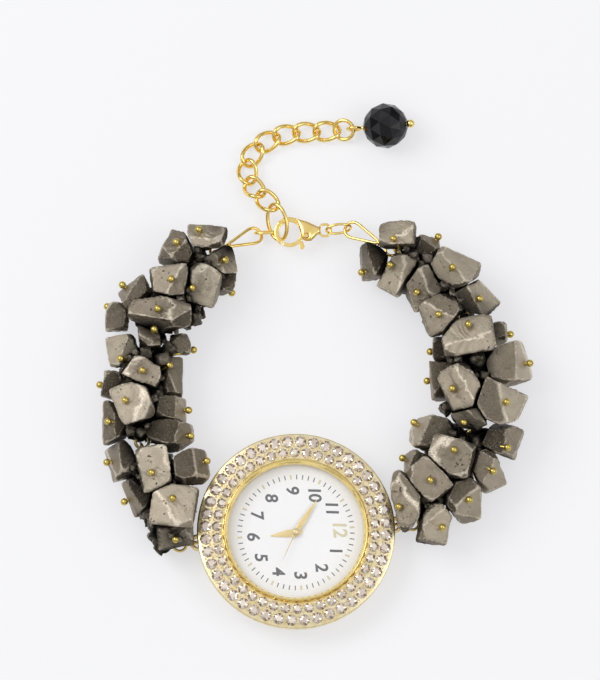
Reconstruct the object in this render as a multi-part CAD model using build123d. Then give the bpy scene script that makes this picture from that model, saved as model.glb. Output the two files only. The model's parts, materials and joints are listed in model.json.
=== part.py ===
from build123d import *
import os
from math import atan2, cos, degrees, hypot, pi, radians, sin, tan

os.makedirs("parts", exist_ok=True)

# A stone-cluster bracelet watch, laid on a table with its loop closed.
# Millimetres. The origin is the centre of the case back on the table, +Z goes up
# through the dial, +X runs along the lugs from 6 to 12 o'clock, and +Y points to the clasp.

# Watch case and bezel
case_radius = 19.2
case_wall = 2.6
case_bore_radius = case_radius - case_wall
case_lift = 0.2
bezel_overhang = 0.8
bezel_radius = case_radius + bezel_overhang
bezel_bottom = 5.0
bezel_edge_top = 6.3
bezel_seat_width = 5.15
bezel_seat_top = 6.9
bezel_lip_foot = bezel_radius - bezel_seat_width
bezel_lip_back = 0.45
bezel_lip_radius = bezel_lip_foot - bezel_lip_back
bezel_lip_top = 8.1
bezel_lip_slope = 0.75
crystal_radius = bezel_lip_radius - bezel_lip_slope
rim_sides = 60
crystal_fit = 0.04
crystal_thickness = 0.9
back_fit = 0.04
back_thickness = 1.2

# Stones of the bezel: flat-backed, six-sided, in two rings
outer_stone_inset_share = 0.33
stone_ring_step_share = 0.4466
outer_stone_radius_share = 0.1942
inner_stone_radius_share = 0.1806
outer_stone_inset = bezel_seat_width * outer_stone_inset_share
stone_ring_step = bezel_seat_width * stone_ring_step_share
outer_stone_circle = bezel_radius - outer_stone_inset
inner_stone_circle = outer_stone_circle - stone_ring_step
outer_stone_pitch = 2.61
inner_stone_pitch = 2.39
outer_stone_radius = bezel_seat_width * outer_stone_radius_share
inner_stone_radius = bezel_seat_width * inner_stone_radius_share
gem_height = 0.75
gem_table_share = 0.58
gem_sides = 6
gem_glue = 0.005

# Dial, movement and battery
dial_fit = 0.3
dial_radius = case_bore_radius - dial_fit
dial_thickness = 0.4
dial_bottom = 4.3
movement_radius = 9.3
movement_thickness = 2.6
movement_bottom = 1.3
movement_sides = 12
dial_sides = 48
arbor_sides = 12
holder_fit = 0.1
holder_sides = 24
battery_radius_share = 0.3656
battery_radius = movement_radius * battery_radius_share
battery_thickness = 1.0
battery_arbor_gap = 1.2
battery_offset = battery_radius + battery_arbor_gap
battery_fit = 0.1
battery_sides = 16

# Hands and the arbor that carries them
arbor_radius = 0.42
arbor_top = 5.9
hand_fit = 0.05
hand_thickness = 0.15
hand_hub_radius = 0.85
hour_hand_level = 4.85
minute_hand_level = 5.2
second_hand_level = 5.55
hour_hand_length = 5.6
minute_hand_length = 7.9
second_hand_length = 7.6
hour_hand_width = 1.15
minute_hand_width = 0.95
second_hand_width = 0.25
hand_tail = 1.5
hour_hand_heading = 183.0
minute_hand_heading = 52.0
second_hand_heading = 240.0
hand_widest_share = 0.3

# Setting stem and its crown, sunk into the band at 3 o'clock
crown_radius = 1.3
crown_length = 1.3
crown_flutes = 14
crown_flute_depth = 0.12
crown_recess_depth = 1.6
crown_fit = 0.15
stem_radius = 0.4
stem_fit = 0.06
setting_lever_inset = 1.7
stem_seat_depth = 1.0
setting_lever_reach = movement_radius - setting_lever_inset
stem_inner_end = setting_lever_reach - stem_seat_depth
stem_level = 2.6
stem_sides = 6
setting_lever_thickness = 0.5
setting_lever_width = 2.6
setting_lever_slot = 3.2
setting_travel = 0.8

# Wire, loops and eyes
core_wire = 0.62
lug_wire = 0.9
eye_radius = 1.35
lug_loop_radius = 1.35
lug_loop_inset = 0.3
lug_ring_radius = 1.5
link_play = 0.28
eye_sides = 8
ring_sides = 10
square_share = 0.89
lug_level = 3.2

# Pins: square wire with an eye round the core and a ball on the outer end
pin_wire = 0.6
pin_play = 0.12
pin_ball_radius = 0.72
pin_pitch = 0.86
bar_margin = 0.5
bore_play = 0.1

# Tumbled stones
strand_height = 13.6
stone_gap = 0.26
stone_wall = 0.25
core_clearance = 1.95
floor_clearance = 0.06
flex = 3.5
joint_gap = 0.16
case_gap = 0.4
seat_share = 0.84
stone_lean = 9.0
sliver = 0.07
reach_allowance = 3.4

# Photo layout: one pixel of the photo on the table, the camera's height and roll
pixel_width = 0.202
view_elevation = 79.0
view_roll = 5.3
head_pixels = (296, 530)


def spot(across, down, height):
    """The point of the model seen at a pixel of the photo, at a height above the table."""
    right = (across - head_pixels[0]) * pixel_width
    rise = (head_pixels[1] - down) * pixel_width
    elevation = radians(view_elevation)
    back = (rise - (height - bezel_lip_top) * cos(elevation)) / sin(elevation)
    roll = radians(view_roll)
    return Vector(
        right * cos(roll) + back * sin(roll),
        back * cos(roll) - right * sin(roll),
        height,
    )


def flat(*corners):
    """A flat face with straight edges."""
    return Face(Wire.make_polygon(corners, close=True))


def lathe(profile):
    """Carry an outline of radius and height round the Z axis in many narrow flats."""
    rings = []
    for radius, height in profile:
        corners = ring_outline(rim_sides, radius, radius)
        rings.append([Vector(x, y, height) for x, y in corners])
    faces = []
    for ring, above in zip(rings, rings[1:] + rings[:1]):
        for corner in range(rim_sides):
            beside = (corner + 1) % rim_sides
            faces.append(flat(ring[corner], ring[beside], above[beside], above[corner]))
    return Solid(Shell(faces))


def prism(points, low, high):
    """Raise a flat outline from one height to another."""
    face = make_face(Polyline([(x, y, low) for x, y in points], close=True))
    return extrude(face, amount=high - low, dir=(0, 0, 1))


def ring_outline(sides, half_length, half_width):
    """Corners of a many-sided oval whose flats lie at the half sizes."""
    spread = 1 / cos(pi / sides)
    angles = [2 * pi * (corner + 0.5) / sides for corner in range(sides)]
    return [(half_length * spread * cos(a), half_width * spread * sin(a)) for a in angles]


def flat_ring(sides, half_length, half_width, wire):
    """An oval of square wire in the XY plane; the half sizes run to the middle of the wire."""
    half = wire * square_share / 2
    outer = prism(ring_outline(sides, half_length + half, half_width + half), -half, half)
    inner = prism(ring_outline(sides, half_length - half, half_width - half), -wire, wire)
    return outer - inner


def tube_prism(sides, radius, length):
    """A straight many-sided bar along +Z from the origin."""
    return prism(ring_outline(sides, radius, radius), 0, length)


def level_side(along):
    """The level direction to the left of a run."""
    return Vector(0, 0, 1).cross(along).normalized()


def on_plane(shape, origin, along, normal):
    """Put a shape drawn at the origin on a plane given by its X direction and its normal."""
    return Plane(origin=origin, x_dir=along, z_dir=normal).location * shape


def save(node, solids):
    """Write one node's solids as its own file."""
    shape = solids[0] if len(solids) == 1 else Compound(children=list(solids))
    export_step(shape, f"parts/{node}.step")


# Case band: a smooth ring with a fixed loop on each side for the strands and a sunk
# recess for the crown
lug_loop_centre = case_radius + lug_loop_radius - lug_loop_inset - lug_wire / 2
lug_loop_end = lug_loop_centre + lug_loop_radius
wire_step = core_wire + link_play
lug_pivot = lug_loop_end - (lug_wire + link_play + core_wire) / 4
lug_ring_near = lug_loop_end - (lug_wire + core_wire) / 2 - link_play
lug_ring_centre = lug_ring_near + lug_ring_radius
strand_start = lug_ring_near + 2 * lug_ring_radius - wire_step / 2

crown_inner_wall = case_radius - crown_recess_depth
band = lathe([
    (case_bore_radius, case_lift),
    (case_radius, case_lift),
    (case_radius, bezel_bottom),
    (case_bore_radius, bezel_bottom),
])
recess = tube_prism(crown_flutes, crown_radius + crown_fit, crown_recess_depth + bezel_radius - case_radius)
stem_hole = tube_prism(stem_sides, stem_radius + stem_fit, case_radius - case_bore_radius + crown_radius)
toward_crown = Vector(0, -1, 0)
band -= on_plane(recess, Vector(0, -crown_inner_wall, stem_level), Vector(1, 0, 0), toward_crown)
band -= on_plane(
    stem_hole, Vector(0, -(case_bore_radius - stem_radius), stem_level), Vector(1, 0, 0), toward_crown
)
lug_loop = flat_ring(eye_sides, lug_loop_radius, lug_loop_radius, lug_wire)
case_plug = Cylinder(case_radius - sliver, bezel_bottom * 2)
for side in (-1, 1):
    band += Pos(side * lug_loop_centre, 0, lug_level) * lug_loop - case_plug
save("case_band", [band])

# Case back: a plain disc snapped into the bore of the band; the watch rests on it
back = tube_prism(rim_sides, case_bore_radius - back_fit, back_thickness)
save("case_back", [back])

# Bezel: a lathe-turned ring with a sloping seat for two rings of stones and a polished lip
crystal_bore = crystal_radius + crystal_fit
bezel = lathe([
    (crystal_bore, bezel_bottom),
    (bezel_radius, bezel_bottom),
    (bezel_radius, bezel_edge_top),
    (bezel_lip_foot, bezel_seat_top),
    (bezel_lip_radius, bezel_lip_top),
    (crystal_bore, bezel_seat_top),
])
save("bezel", [bezel])

# Stones of the bezel, glued flat on the sloping seat
seat_slope = degrees(atan2(bezel_seat_top - bezel_edge_top, bezel_radius - bezel_lip_foot))


def gem(radius):
    """A flat-backed stone with six sloping sides."""
    base = make_face(Polyline([(x, y, 0) for x, y in ring_outline(gem_sides, radius, radius)], close=True))
    side_slope = degrees(atan2(radius * (1 - gem_table_share), gem_height))
    return extrude(base, amount=gem_height, dir=(0, 0, 1), taper=side_slope)


def gem_ring(circle, pitch, radius):
    """Stones evenly spaced round one circle of the bezel."""
    count = round(2 * pi * circle / pitch)
    height = bezel_seat_top - (circle - bezel_lip_foot) * tan(radians(seat_slope)) + gem_glue
    stone = gem(radius)
    seat = Pos(circle, 0, height) * Rot(0, seat_slope, 0)
    return [Rot(0, 0, 360 * turn / count) * seat * stone for turn in range(count)]


save("bezel_stones_outer", gem_ring(outer_stone_circle, outer_stone_pitch, outer_stone_radius))
save("bezel_stones_inner", gem_ring(inner_stone_circle, inner_stone_pitch, inner_stone_radius))

# Crystal: a flat disc pressed into the bezel's bore, its top at the foot of the lip's slope
crystal_bottom = bezel_seat_top - crystal_thickness
crystal = Pos(0, 0, crystal_bottom) * tube_prism(rim_sides, crystal_radius, crystal_thickness)
save("crystal", [crystal])

# Dial: a white disc on top of the movement holder, with a hole for the hand arbor
dial = Pos(0, 0, dial_bottom) * tube_prism(dial_sides, dial_radius, dial_thickness)
dial -= tube_prism(eye_sides, arbor_radius + holder_fit, bezel_bottom)
save("dial", [dial])

# Movement: a twelve-sided quartz movement with the arbor on top, a pocket for the
# battery below and a slot for the setting lever and stem
movement = Pos(0, 0, movement_bottom) * tube_prism(movement_sides, movement_radius, movement_thickness)
arbor = Pos(0, 0, movement_bottom) * tube_prism(arbor_sides, arbor_radius, arbor_top - movement_bottom)
battery_place = Pos(0, battery_offset, movement_bottom)
battery_pocket = battery_place * tube_prism(
    battery_sides, battery_radius + battery_fit, battery_thickness + battery_fit
)
lever_slot_width = setting_lever_width + 2 * holder_fit
lever_slot_end = setting_lever_reach + setting_lever_slot / 2
lever_slot = Pos(0, -lever_slot_end, movement_bottom) * Box(
    lever_slot_width,
    setting_lever_slot,
    movement_thickness,
    align=(Align.CENTER, Align.MIN, Align.MIN),
)
stem_bore_length = movement_radius - stem_inner_end + stem_fit + setting_travel
stem_bore = on_plane(
    tube_prism(stem_sides, stem_radius + stem_fit, stem_bore_length),
    Vector(0, -(stem_inner_end - stem_fit), stem_level),
    Vector(1, 0, 0),
    toward_crown,
)
save("movement", [movement + arbor - battery_pocket - lever_slot - stem_bore])

# Battery: a small coin cell in its pocket, flush with the movement's underside
battery = battery_place * tube_prism(battery_sides, battery_radius, battery_thickness)
save("battery", [battery])

# Movement holder: a plastic spacer that centres the movement in the band, cut away
# on the crown side for the stem and the setting lever
holder_outer = case_bore_radius - holder_fit
holder = Pos(0, 0, movement_bottom) * tube_prism(
    holder_sides, holder_outer * cos(pi / holder_sides), movement_thickness
)
holder -= tube_prism(movement_sides, movement_radius + holder_fit, bezel_bottom)
holder_cut = Pos(0, -case_bore_radius, movement_bottom) * Box(
    lever_slot_width,
    case_bore_radius,
    movement_thickness,
    align=(Align.CENTER, Align.MIN, Align.MIN),
)
save("movement_holder", [holder - holder_cut])

# Setting lever: the plate that slides with the stem when the crown is pulled out
lever_plate = Pos(0, -setting_lever_reach, stem_level) * Box(
    setting_lever_width, setting_lever_thickness, battery_thickness * 2
)
lever_plate -= on_plane(
    tube_prism(stem_sides, stem_radius + stem_fit, setting_lever_reach),
    Vector(0, -stem_inner_end, stem_level),
    Vector(1, 0, 0),
    toward_crown,
)
save("setting_lever", [lever_plate])

# Stem and crown turn together in the setting lever
stem_length = crown_inner_wall + crown_fit + crown_length / 2 - stem_inner_end
stem = on_plane(
    tube_prism(stem_sides, stem_radius, stem_length),
    Vector(0, -stem_inner_end, stem_level),
    Vector(1, 0, 0),
    toward_crown,
)
flute_points = []
for tooth in range(crown_flutes):
    tip = 2 * pi * tooth / crown_flutes
    root = tip + pi / crown_flutes
    flute_points.append((crown_radius * cos(tip), crown_radius * sin(tip)))
    flute_radius = crown_radius - crown_flute_depth
    flute_points.append((flute_radius * cos(root), flute_radius * sin(root)))
crown_blank = prism(flute_points, 0, crown_length)
crown_start = Vector(0, -(crown_inner_wall + crown_fit), stem_level)
crown = on_plane(crown_blank, crown_start, Vector(1, 0, 0), toward_crown)
save("crown", [crown - stem])
save("setting_stem", [stem])

# Hands: flat leaves pressed on the arbor one above the other
hand_hole = tube_prism(arbor_sides, arbor_radius + hand_fit, bezel_lip_top)


def hand(length, width, level, heading):
    """A leaf-shaped hand with a round hub and a short tail."""
    half = width / 2
    widest = length * hand_widest_share
    leaf = [(-hand_tail, 0), (0, -half), (widest, -half), (length, 0), (widest, half), (0, half)]
    shape = prism(leaf, level, level + hand_thickness)
    shape += Pos(0, 0, level) * tube_prism(eye_sides, hand_hub_radius, hand_thickness)
    return Rot(0, 0, heading) * (shape - hand_hole)


save("hour_hand", [hand(hour_hand_length, hour_hand_width, hour_hand_level, hour_hand_heading)])
save("minute_hand", [hand(minute_hand_length, minute_hand_width, minute_hand_level, minute_hand_heading)])
save("second_hand", [hand(second_hand_length, second_hand_width, second_hand_level, second_hand_heading)])

# Lug rings: one loose ring through each fixed loop of the band
for side, name in ((-1, "left"), (1, "right")):
    lug_ring = flat_ring(ring_sides, lug_ring_radius, lug_ring_radius, core_wire)
    centre = Vector(side * lug_ring_centre, 0, lug_level)
    save(f"lug_ring_{name}", [on_plane(lug_ring, centre, Vector(side, 0, 0), Vector(0, 1, 0))])

# Core of the strands: three wire bars a side with an eye at both ends, hooked eye to eye.
# Their pivots follow the photo; each height is a share of the strand's height.
left_pivot_pixels = [(142, 447), (147, 342), (213, 254)]
right_pivot_pixels = [(472, 428), (468, 322), (396, 252)]
pivot_height_shares = [0.5, 0.515, 0.45]
eye_setback = eye_radius - wire_step / 2


def strand_pivots(side, pixels):
    """The points where one strand's bars hook together, from the lug to the clasp end."""
    heights = [share * strand_height for share in pivot_height_shares]
    ends = [spot(*place, height) for place, height in zip(pixels, heights)]
    return [Vector(side * strand_start, 0, lug_level)] + ends


def eye_centres(start, heading, end):
    """Centres of a bar's two eyes; the far side of each eye reaches just past its pivot."""
    first = start + heading * eye_setback
    return first, end - (end - first).normalized() * eye_setback


def wire_eye(centre, heading, normal):
    """One eye of a bar, with a flat square to its heading."""
    return on_plane(flat_ring(eye_sides, eye_radius, eye_radius, core_wire), centre, heading, normal)


def core_bar(first, heading, last):
    """A straight six-sided wire between two eyes, level at the start and upright at the end."""
    along = (last - first).normalized()
    side = level_side(along)
    rod = tube_prism(stem_sides, core_wire / 2, (last - first).length - 2 * eye_radius)
    rod = on_plane(rod, first + along * eye_radius, side, along)
    return rod + wire_eye(first, heading, along.cross(side)) + wire_eye(last, along, side)


strands = {
    "left": strand_pivots(-1, left_pivot_pixels),
    "right": strand_pivots(1, right_pivot_pixels),
}
bars = {}
for name, pivots in strands.items():
    bars[name] = []
    for part, (start, end) in enumerate(zip(pivots, pivots[1:]), 1):
        heading = (end - start).normalized() if part > 1 else Vector(start.X, 0, 0).normalized()
        first, last = eye_centres(start, heading, end)
        bars[name].append((first, last))
        save(f"core_{name}_{part}", [core_bar(first, heading, last)])

# Teardrop ends: a bent wire loop on a straight neck, hooked to the last eye of each strand
teardrop_wire = 0.66
teardrop_width = 3.2
neck_radius = 0.62
left_neck_pixels = (229, 246)
left_teardrop_pixels = (260.3, 233.6)
right_neck_pixels = (378, 243)
right_teardrop_pixels = (346.2, 227.3)
neck_height_share = 0.38
left_teardrop_height = 1.7
right_teardrop_height = 3.2
teardrop_shares = [(0, 0.14), (0.72, 0.5), (0.9, 0.46), (1, 0.22)]


def teardrop(pivot, neck, tip):
    """Eye, neck and loop in one piece; the loop's outline is given in shares of its length."""
    neck_along = (neck - pivot).normalized()
    inset = eye_setback + eye_radius
    neck_bar = tube_prism(stem_sides, neck_radius, (neck - pivot).length - inset + teardrop_wire)
    neck_bar = on_plane(neck_bar, pivot + neck_along * inset, level_side(neck_along), neck_along)
    run = tip - neck
    length = run.length
    half = teardrop_wire * square_share / 2
    near = [(share * length, width * teardrop_width) for share, width in teardrop_shares]
    middle = near + [(x, -y) for x, y in reversed(near)]
    outline = Polyline([(x, y, 0) for x, y in middle], close=True)
    face = make_face(outline)
    grown = offset(face, amount=half, kind=Kind.INTERSECTION)
    shrunk = offset(face, amount=-half, kind=Kind.INTERSECTION)
    band_face = grown - shrunk
    loop = Pos(0, 0, -half) * extrude(band_face, amount=2 * half, dir=(0, 0, 1))
    along = run.normalized()
    loop = on_plane(loop, neck, along, along.cross(level_side(along)))
    level = neck_along.cross(level_side(neck_along))
    return loop + neck_bar + wire_eye(pivot + neck_along * eye_setback, neck_along, level)


neck_height = neck_height_share * strand_height
ends = {
    "left": (strands["left"][-1], spot(*left_neck_pixels, neck_height),
             spot(*left_teardrop_pixels, left_teardrop_height)),
    "right": (strands["right"][-1], spot(*right_neck_pixels, neck_height),
              spot(*right_teardrop_pixels, right_teardrop_height)),
}
for name, places in ends.items():
    save(f"teardrop_{name}", [teardrop(*places)])

# Tumbled stones. Each row: centre in the photo, height of the centre as a share of the
# strand's height, width and length in the photo, thickness as a share of the strand's
# height, turn in degrees, and the ball of its pin in the photo, or None where it is hidden.
left_stones_pixels_and_shares = [
    [
        (178, 535, 0.42, 43, 30, 0.44, 5, (176, 540)),
        (175, 506, 0.72, 45, 43, 0.46, -8, (173, 499)),
        (191, 468, 0.66, 36, 31, 0.46, 10, None),
        (154, 469, 0.74, 32, 46, 0.46, 12, (152, 473)),
        (141, 496, 0.40, 28, 38, 0.52, 20, None),
        (127, 458, 0.48, 35, 40, 0.56, 15, None),
        (168, 488, 0.20, 34, 40, 0.36, 0, None),
    ],
    [
        (168, 437, 0.62, 50, 26, 0.52, 3, None),
        (170, 411, 0.58, 33, 25, 0.52, 0, None),
        (134, 404, 0.76, 38, 43, 0.46, 20, None),
        (115, 425, 0.50, 24, 44, 0.52, 0, (105.6, 422)),
        (112, 386, 0.42, 20, 28, 0.46, -10, None),
        (144, 374, 0.78, 40, 26, 0.44, -30, None),
        (171, 380, 0.52, 22, 42, 0.52, 0, (166.5, 368)),
        (123, 352, 0.58, 30, 32, 0.52, 10, (123, 360)),
        (150, 340, 0.68, 22, 26, 0.48, 5, None),
        (180, 345, 0.44, 20, 20, 0.44, 0, None),
        (146, 395, 0.18, 36, 44, 0.34, 0, None),
    ],
    [
        (159, 316, 0.74, 64, 34, 0.48, 8, (158, 310)),
        (117, 318, 0.40, 24, 30, 0.44, 0, None),
        (136, 296, 0.54, 32, 26, 0.46, 25, None),
        (169, 283, 0.76, 36, 32, 0.46, 5, (172, 281)),
        (203, 286, 0.62, 34, 42, 0.56, -15, (192.5, 289)),
        (179, 251, 0.62, 32, 32, 0.52, -25, (177, 244)),
        (218, 262, 0.56, 34, 30, 0.48, 10, (225, 261)),
        (206.5, 239, 0.70, 40, 25, 0.44, -5, None),
        (222, 284, 0.30, 26, 20, 0.34, 0, None),
        (180, 305, 0.20, 40, 34, 0.34, 0, None),
    ],
]
right_stones_pixels_and_shares = [
    [
        (406, 503, 0.58, 32, 62, 0.60, -5, (397.5, 507)),
        (435, 523, 0.52, 30, 42, 0.52, -10, (444, 529)),
        (430, 480, 0.78, 34, 43, 0.46, 35, (430, 480.5)),
        (463, 501, 0.56, 36, 40, 0.52, 0, (468, 500)),
        (487, 471, 0.50, 28, 42, 0.54, 25, (491, 471)),
        (451, 459, 0.80, 44, 38, 0.46, -15, (453.5, 450.6)),
        (434, 436, 0.50, 46, 34, 0.58, -5, None),
        (503, 440, 0.54, 34, 32, 0.52, -20, (506, 448)),
        (415, 468, 0.36, 22, 34, 0.42, 0, None),
        (455, 484, 0.18, 38, 40, 0.34, 0, None),
        (480, 448, 0.20, 36, 36, 0.34, 0, None),
    ],
    [
        (470, 421, 0.64, 32, 30, 0.52, 35, (463, 424)),
        (498, 404, 0.74, 50, 40, 0.50, -25, (505, 403)),
        (462, 391, 0.74, 36, 50, 0.50, 25, (451, 389)),
        (441, 381, 0.42, 24, 40, 0.48, 5, None),
        (508, 366, 0.56, 40, 40, 0.52, 15, None),
        (443, 352, 0.46, 22, 26, 0.46, 0, None),
        (467, 337, 0.78, 54, 38, 0.50, 10, (468, 325)),
        (499, 334, 0.36, 18, 20, 0.42, 0, None),
        (478, 372, 0.22, 40, 44, 0.38, 0, None),
    ],
    [
        (473, 303, 0.60, 40, 40, 0.52, -45, (479, 300)),
        (441, 317, 0.76, 38, 36, 0.46, 20, (439, 315)),
        (424, 289, 0.62, 36, 42, 0.58, 20, (415.5, 294)),
        (455, 271, 0.70, 46, 34, 0.48, -25, (451, 270.5)),
        (427, 249, 0.56, 25, 22, 0.46, 0, None),
        (400, 274, 0.60, 30, 46, 0.56, -30, (388, 265.5)),
        (398, 237, 0.74, 36, 26, 0.46, 0, (395, 242)),
        (374, 261, 0.46, 25, 38, 0.48, 8, None),
        (437, 290, 0.20, 40, 40, 0.34, 0, None),
    ],
]
corner_cut_shares = (0.30, 0.0, 0.20, 0.26, 0.0, 0.24, 0.0, 0.0)
lean_turns = 2.4
unseen_lean_share = 0.5
dome_share = 0.45


def nearest(point, start, end):
    """The point of a straight run that lies nearest to a given point."""
    run = end - start
    share = (point - start).dot(run) / run.dot(run)
    return start + run * min(1, max(0, share))


class Nugget:
    """One tumbled stone: a block on its pin, cleaved by the planes that part it from the rest."""

    def __init__(self, row, index, strand, part):
        across, down, height_share, width, length, thick_share, turn, ball = row
        self.index = index
        self.part = part
        self.strand = strand
        self.centre = spot(across, down, height_share * strand_height)
        size = Vector(width * pixel_width, length * pixel_width, thick_share * strand_height)
        lean = Rot(
            stone_lean * sin(lean_turns * index),
            stone_lean * cos(lean_turns * index),
            turn - view_roll,
        )
        self.place = Location(self.centre) * lean
        self.size = size
        self.axes = [Vector(*(self.place * Pos(*axis)).position) - self.centre
                     for axis in ((1, 0, 0), (0, 1, 0), (0, 0, 1))]
        self.ball = ball
        self.planes = []

    def extent(self, direction):
        """How far the rounded block reaches in a direction."""
        spans = (self.size.X, self.size.Y, self.size.Z)
        parts = [(span / 2 * axis.dot(direction)) ** 2 for span, axis in zip(spans, self.axes)]
        return sum(parts) ** 0.5

    def cleave(self, point, normal):
        """Note a plane; the stone keeps what lies behind it."""
        self.planes.append((point, normal))

    def keep_off(self, start, end, distance):
        """Stay a distance away from a straight run."""
        near = nearest(self.centre, start, end)
        away = near - self.centre
        if away.length < self.extent(away.normalized()) + distance + reach_allowance:
            direction = away.normalized()
            self.cleave(near - direction * distance, direction)

    def block(self):
        """The block with its corners knocked off and its planes cleaved."""
        shape = self.place * Box(self.size.X, self.size.Y, self.size.Z)
        for corner in range(8):
            share = corner_cut_shares[(corner + self.index * 3) % 8]
            signs = (1 - 2 * (corner & 1), 1 - (corner & 2), 1 - (corner & 4) / 2)
            spans = (self.size.X, self.size.Y, self.size.Z)
            tip = self.centre
            normal = Vector(0, 0, 0)
            for sign, span, axis in zip(signs, spans, self.axes):
                tip = tip + axis * (sign * span / 2)
                normal = normal + axis * (sign / span)
            normal = normal.normalized()
            depth = (tip - self.centre).dot(normal) * share
            if share:
                shape = cut_off(shape, tip - normal * depth, normal)
        for point, normal in self.planes:
            shape = cut_off(shape, point, normal)
        return shape


def cut_off(shape, point, normal):
    """Take off what lies beyond a plane, where anything does."""
    heights = [(corner.center() - point).dot(normal) for corner in shape.vertices()]
    if max(heights) <= sliver:
        return shape
    return shape.split(Plane(origin=point, z_dir=normal), keep=Keep.BOTTOM).solids()[0]


nuggets = []
for name, table in (("left", left_stones_pixels_and_shares), ("right", right_stones_pixels_and_shares)):
    for part, rows in enumerate(table, 1):
        for row in rows:
            nuggets.append(Nugget(row, len(nuggets), name, part))

# Stations of the pins along each bar, spread until neighbours have room, and the run of
# each pin from the side of its eye to its ball
eye_half = core_wire / 2 / cos(pi / stem_sides) + pin_play + pin_wire / 2
for name in strands:
    for part, (start, end) in enumerate(bars[name], 1):
        along = (end - start).normalized()
        first = eye_radius + core_wire / 2 + bar_margin
        last = (end - start).length - first
        group = [stone for stone in nuggets if stone.strand == name and stone.part == part]
        group.sort(key=lambda stone: (stone.centre - start).dot(along))
        stations = [min(last, max(first, (stone.centre - start).dot(along))) for stone in group]
        for number in range(1, len(stations)):
            stations[number] = max(stations[number], stations[number - 1] + pin_pitch)
        stations[-1] = min(stations[-1], last)
        for number in range(len(stations) - 2, -1, -1):
            stations[number] = min(stations[number], stations[number + 1] - pin_pitch)
        for stone, station in zip(group, stations):
            stone.along = along
            stone.station = start + along * station
            overhang = (stone.centre - stone.station).dot(along)
            stone.aim = stone.centre - along * (overhang * unseen_lean_share)
            if stone.ball:
                stone.aim = spot(*stone.ball, stone.centre.Z + stone.size.Z / 2)
            stone.direction = (stone.aim - stone.station).normalized()
            seat = stone.direction + Vector(0, 0, dome_share)
            if stone.direction.Z < 0:
                seat = stone.direction
            seat = seat.normalized()
            across = (stone.direction - along * stone.direction.dot(along)).normalized()
            stone.start = stone.station + across * eye_half
            stone.heading = (stone.aim - stone.start).normalized()
            seat_distance = (stone.centre - stone.start).dot(seat) + stone.extent(seat) * seat_share
            reach = seat_distance / stone.heading.dot(seat)
            if stone.heading.Z < 0:
                lowest_ball = floor_clearance + pin_ball_radius
                floor_reach = (lowest_ball - stone.start.Z) / stone.heading.Z
                reach = min(reach, floor_reach - pin_ball_radius)
            stone.cleave(stone.start + stone.heading * reach, seat)
            stone.finish = stone.start + stone.heading * (reach + 2 * pin_ball_radius)

case_middle = Vector(0, 0, lug_level)
case_reach = hypot(bezel_radius, bezel_lip_top - lug_level) + case_gap
pin_room = pin_wire / 2 + stone_wall
ball_room = pin_ball_radius + stone_wall
for stone in nuggets:
    pivots = strands[stone.strand]
    outward = (stone.centre - case_middle).normalized()
    stone.cleave(Vector(0, 0, floor_clearance), Vector(0, 0, -1))
    stone.cleave(case_middle + outward * case_reach, -outward)
    lug_start = Vector(pivots[0].X - pivots[0].X / abs(pivots[0].X) * reach_allowance, 0, lug_level)
    stone.keep_off(lug_start, pivots[0], core_clearance)
    for part, (start, end) in enumerate(bars[stone.strand], 1):
        swing = 0 if part == stone.part else radians(flex) * (stone.centre - start).length
        stone.keep_off(start, end, core_clearance + min(swing, stone_gap * 3))
    if stone.part == len(pivots) - 1:
        eye, neck, tip = ends[stone.strand]
        stone.keep_off(eye, neck, core_clearance)
        stone.keep_off(neck, tip, teardrop_width / 2 + core_wire)
    for other in nuggets:
        if other is stone or other.strand != stone.strand:
            continue
        apart = other.centre - stone.centre
        direction = apart.normalized()
        mine = stone.extent(direction)
        theirs = other.extent(direction)
        if apart.length > mine + theirs + reach_allowance:
            continue
        gap = stone_gap
        if other.part != stone.part:
            hinge = pivots[max(stone.part, other.part) - 1]
            middle = stone.centre + apart * (mine / (mine + theirs))
            arm = Vector(middle.X - hinge.X, middle.Y - hinge.Y, 0)
            sweep = Vector(-arm.Y, arm.X, 0).normalized()
            facing = min(1, abs(sweep.dot(direction)) + 0.35)
            gap = joint_gap + radians(flex) * facing * (arm.length + reach_allowance)
        share = mine / (mine + theirs)
        stone.cleave(stone.centre + direction * (apart.length * share - gap / 2), direction)
        room = gap - stone_gap
        ball_start = other.finish - other.heading * (3 * pin_ball_radius)
        stone.keep_off(other.start, ball_start, pin_room + room)
        stone.keep_off(ball_start, other.finish, ball_room + room)


def pin_ball():
    """A ball with fourteen flats: a cube with every corner cut to the middle of its edges."""
    side = pin_ball_radius * 2 ** 0.5
    ball = Box(side, side, side)
    for corner in range(8):
        normal = Vector(1 - 2 * (corner & 1), 1 - (corner & 2), 1 - (corner & 4) / 2).normalized()
        ball = cut_off(ball, normal * (side / 3 ** 0.5), normal)
    return ball


def pin(stone, ball_place):
    """Eye round the core, straight shank and ball."""
    across = (stone.start - stone.station).normalized()
    eye = on_plane(flat_ring(4, eye_half, eye_half, pin_wire), stone.station, across, stone.along)
    run = ball_place - stone.start
    level = stone.along.cross(run).normalized()
    shank = tube_prism(4, pin_wire / 2 * square_share, run.length)
    shank = on_plane(shank, stone.start, level, run.normalized())
    ball = on_plane(Rot(0, 0, 45) * pin_ball_shape, ball_place, level, run.normalized())
    return eye + shank + ball


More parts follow.
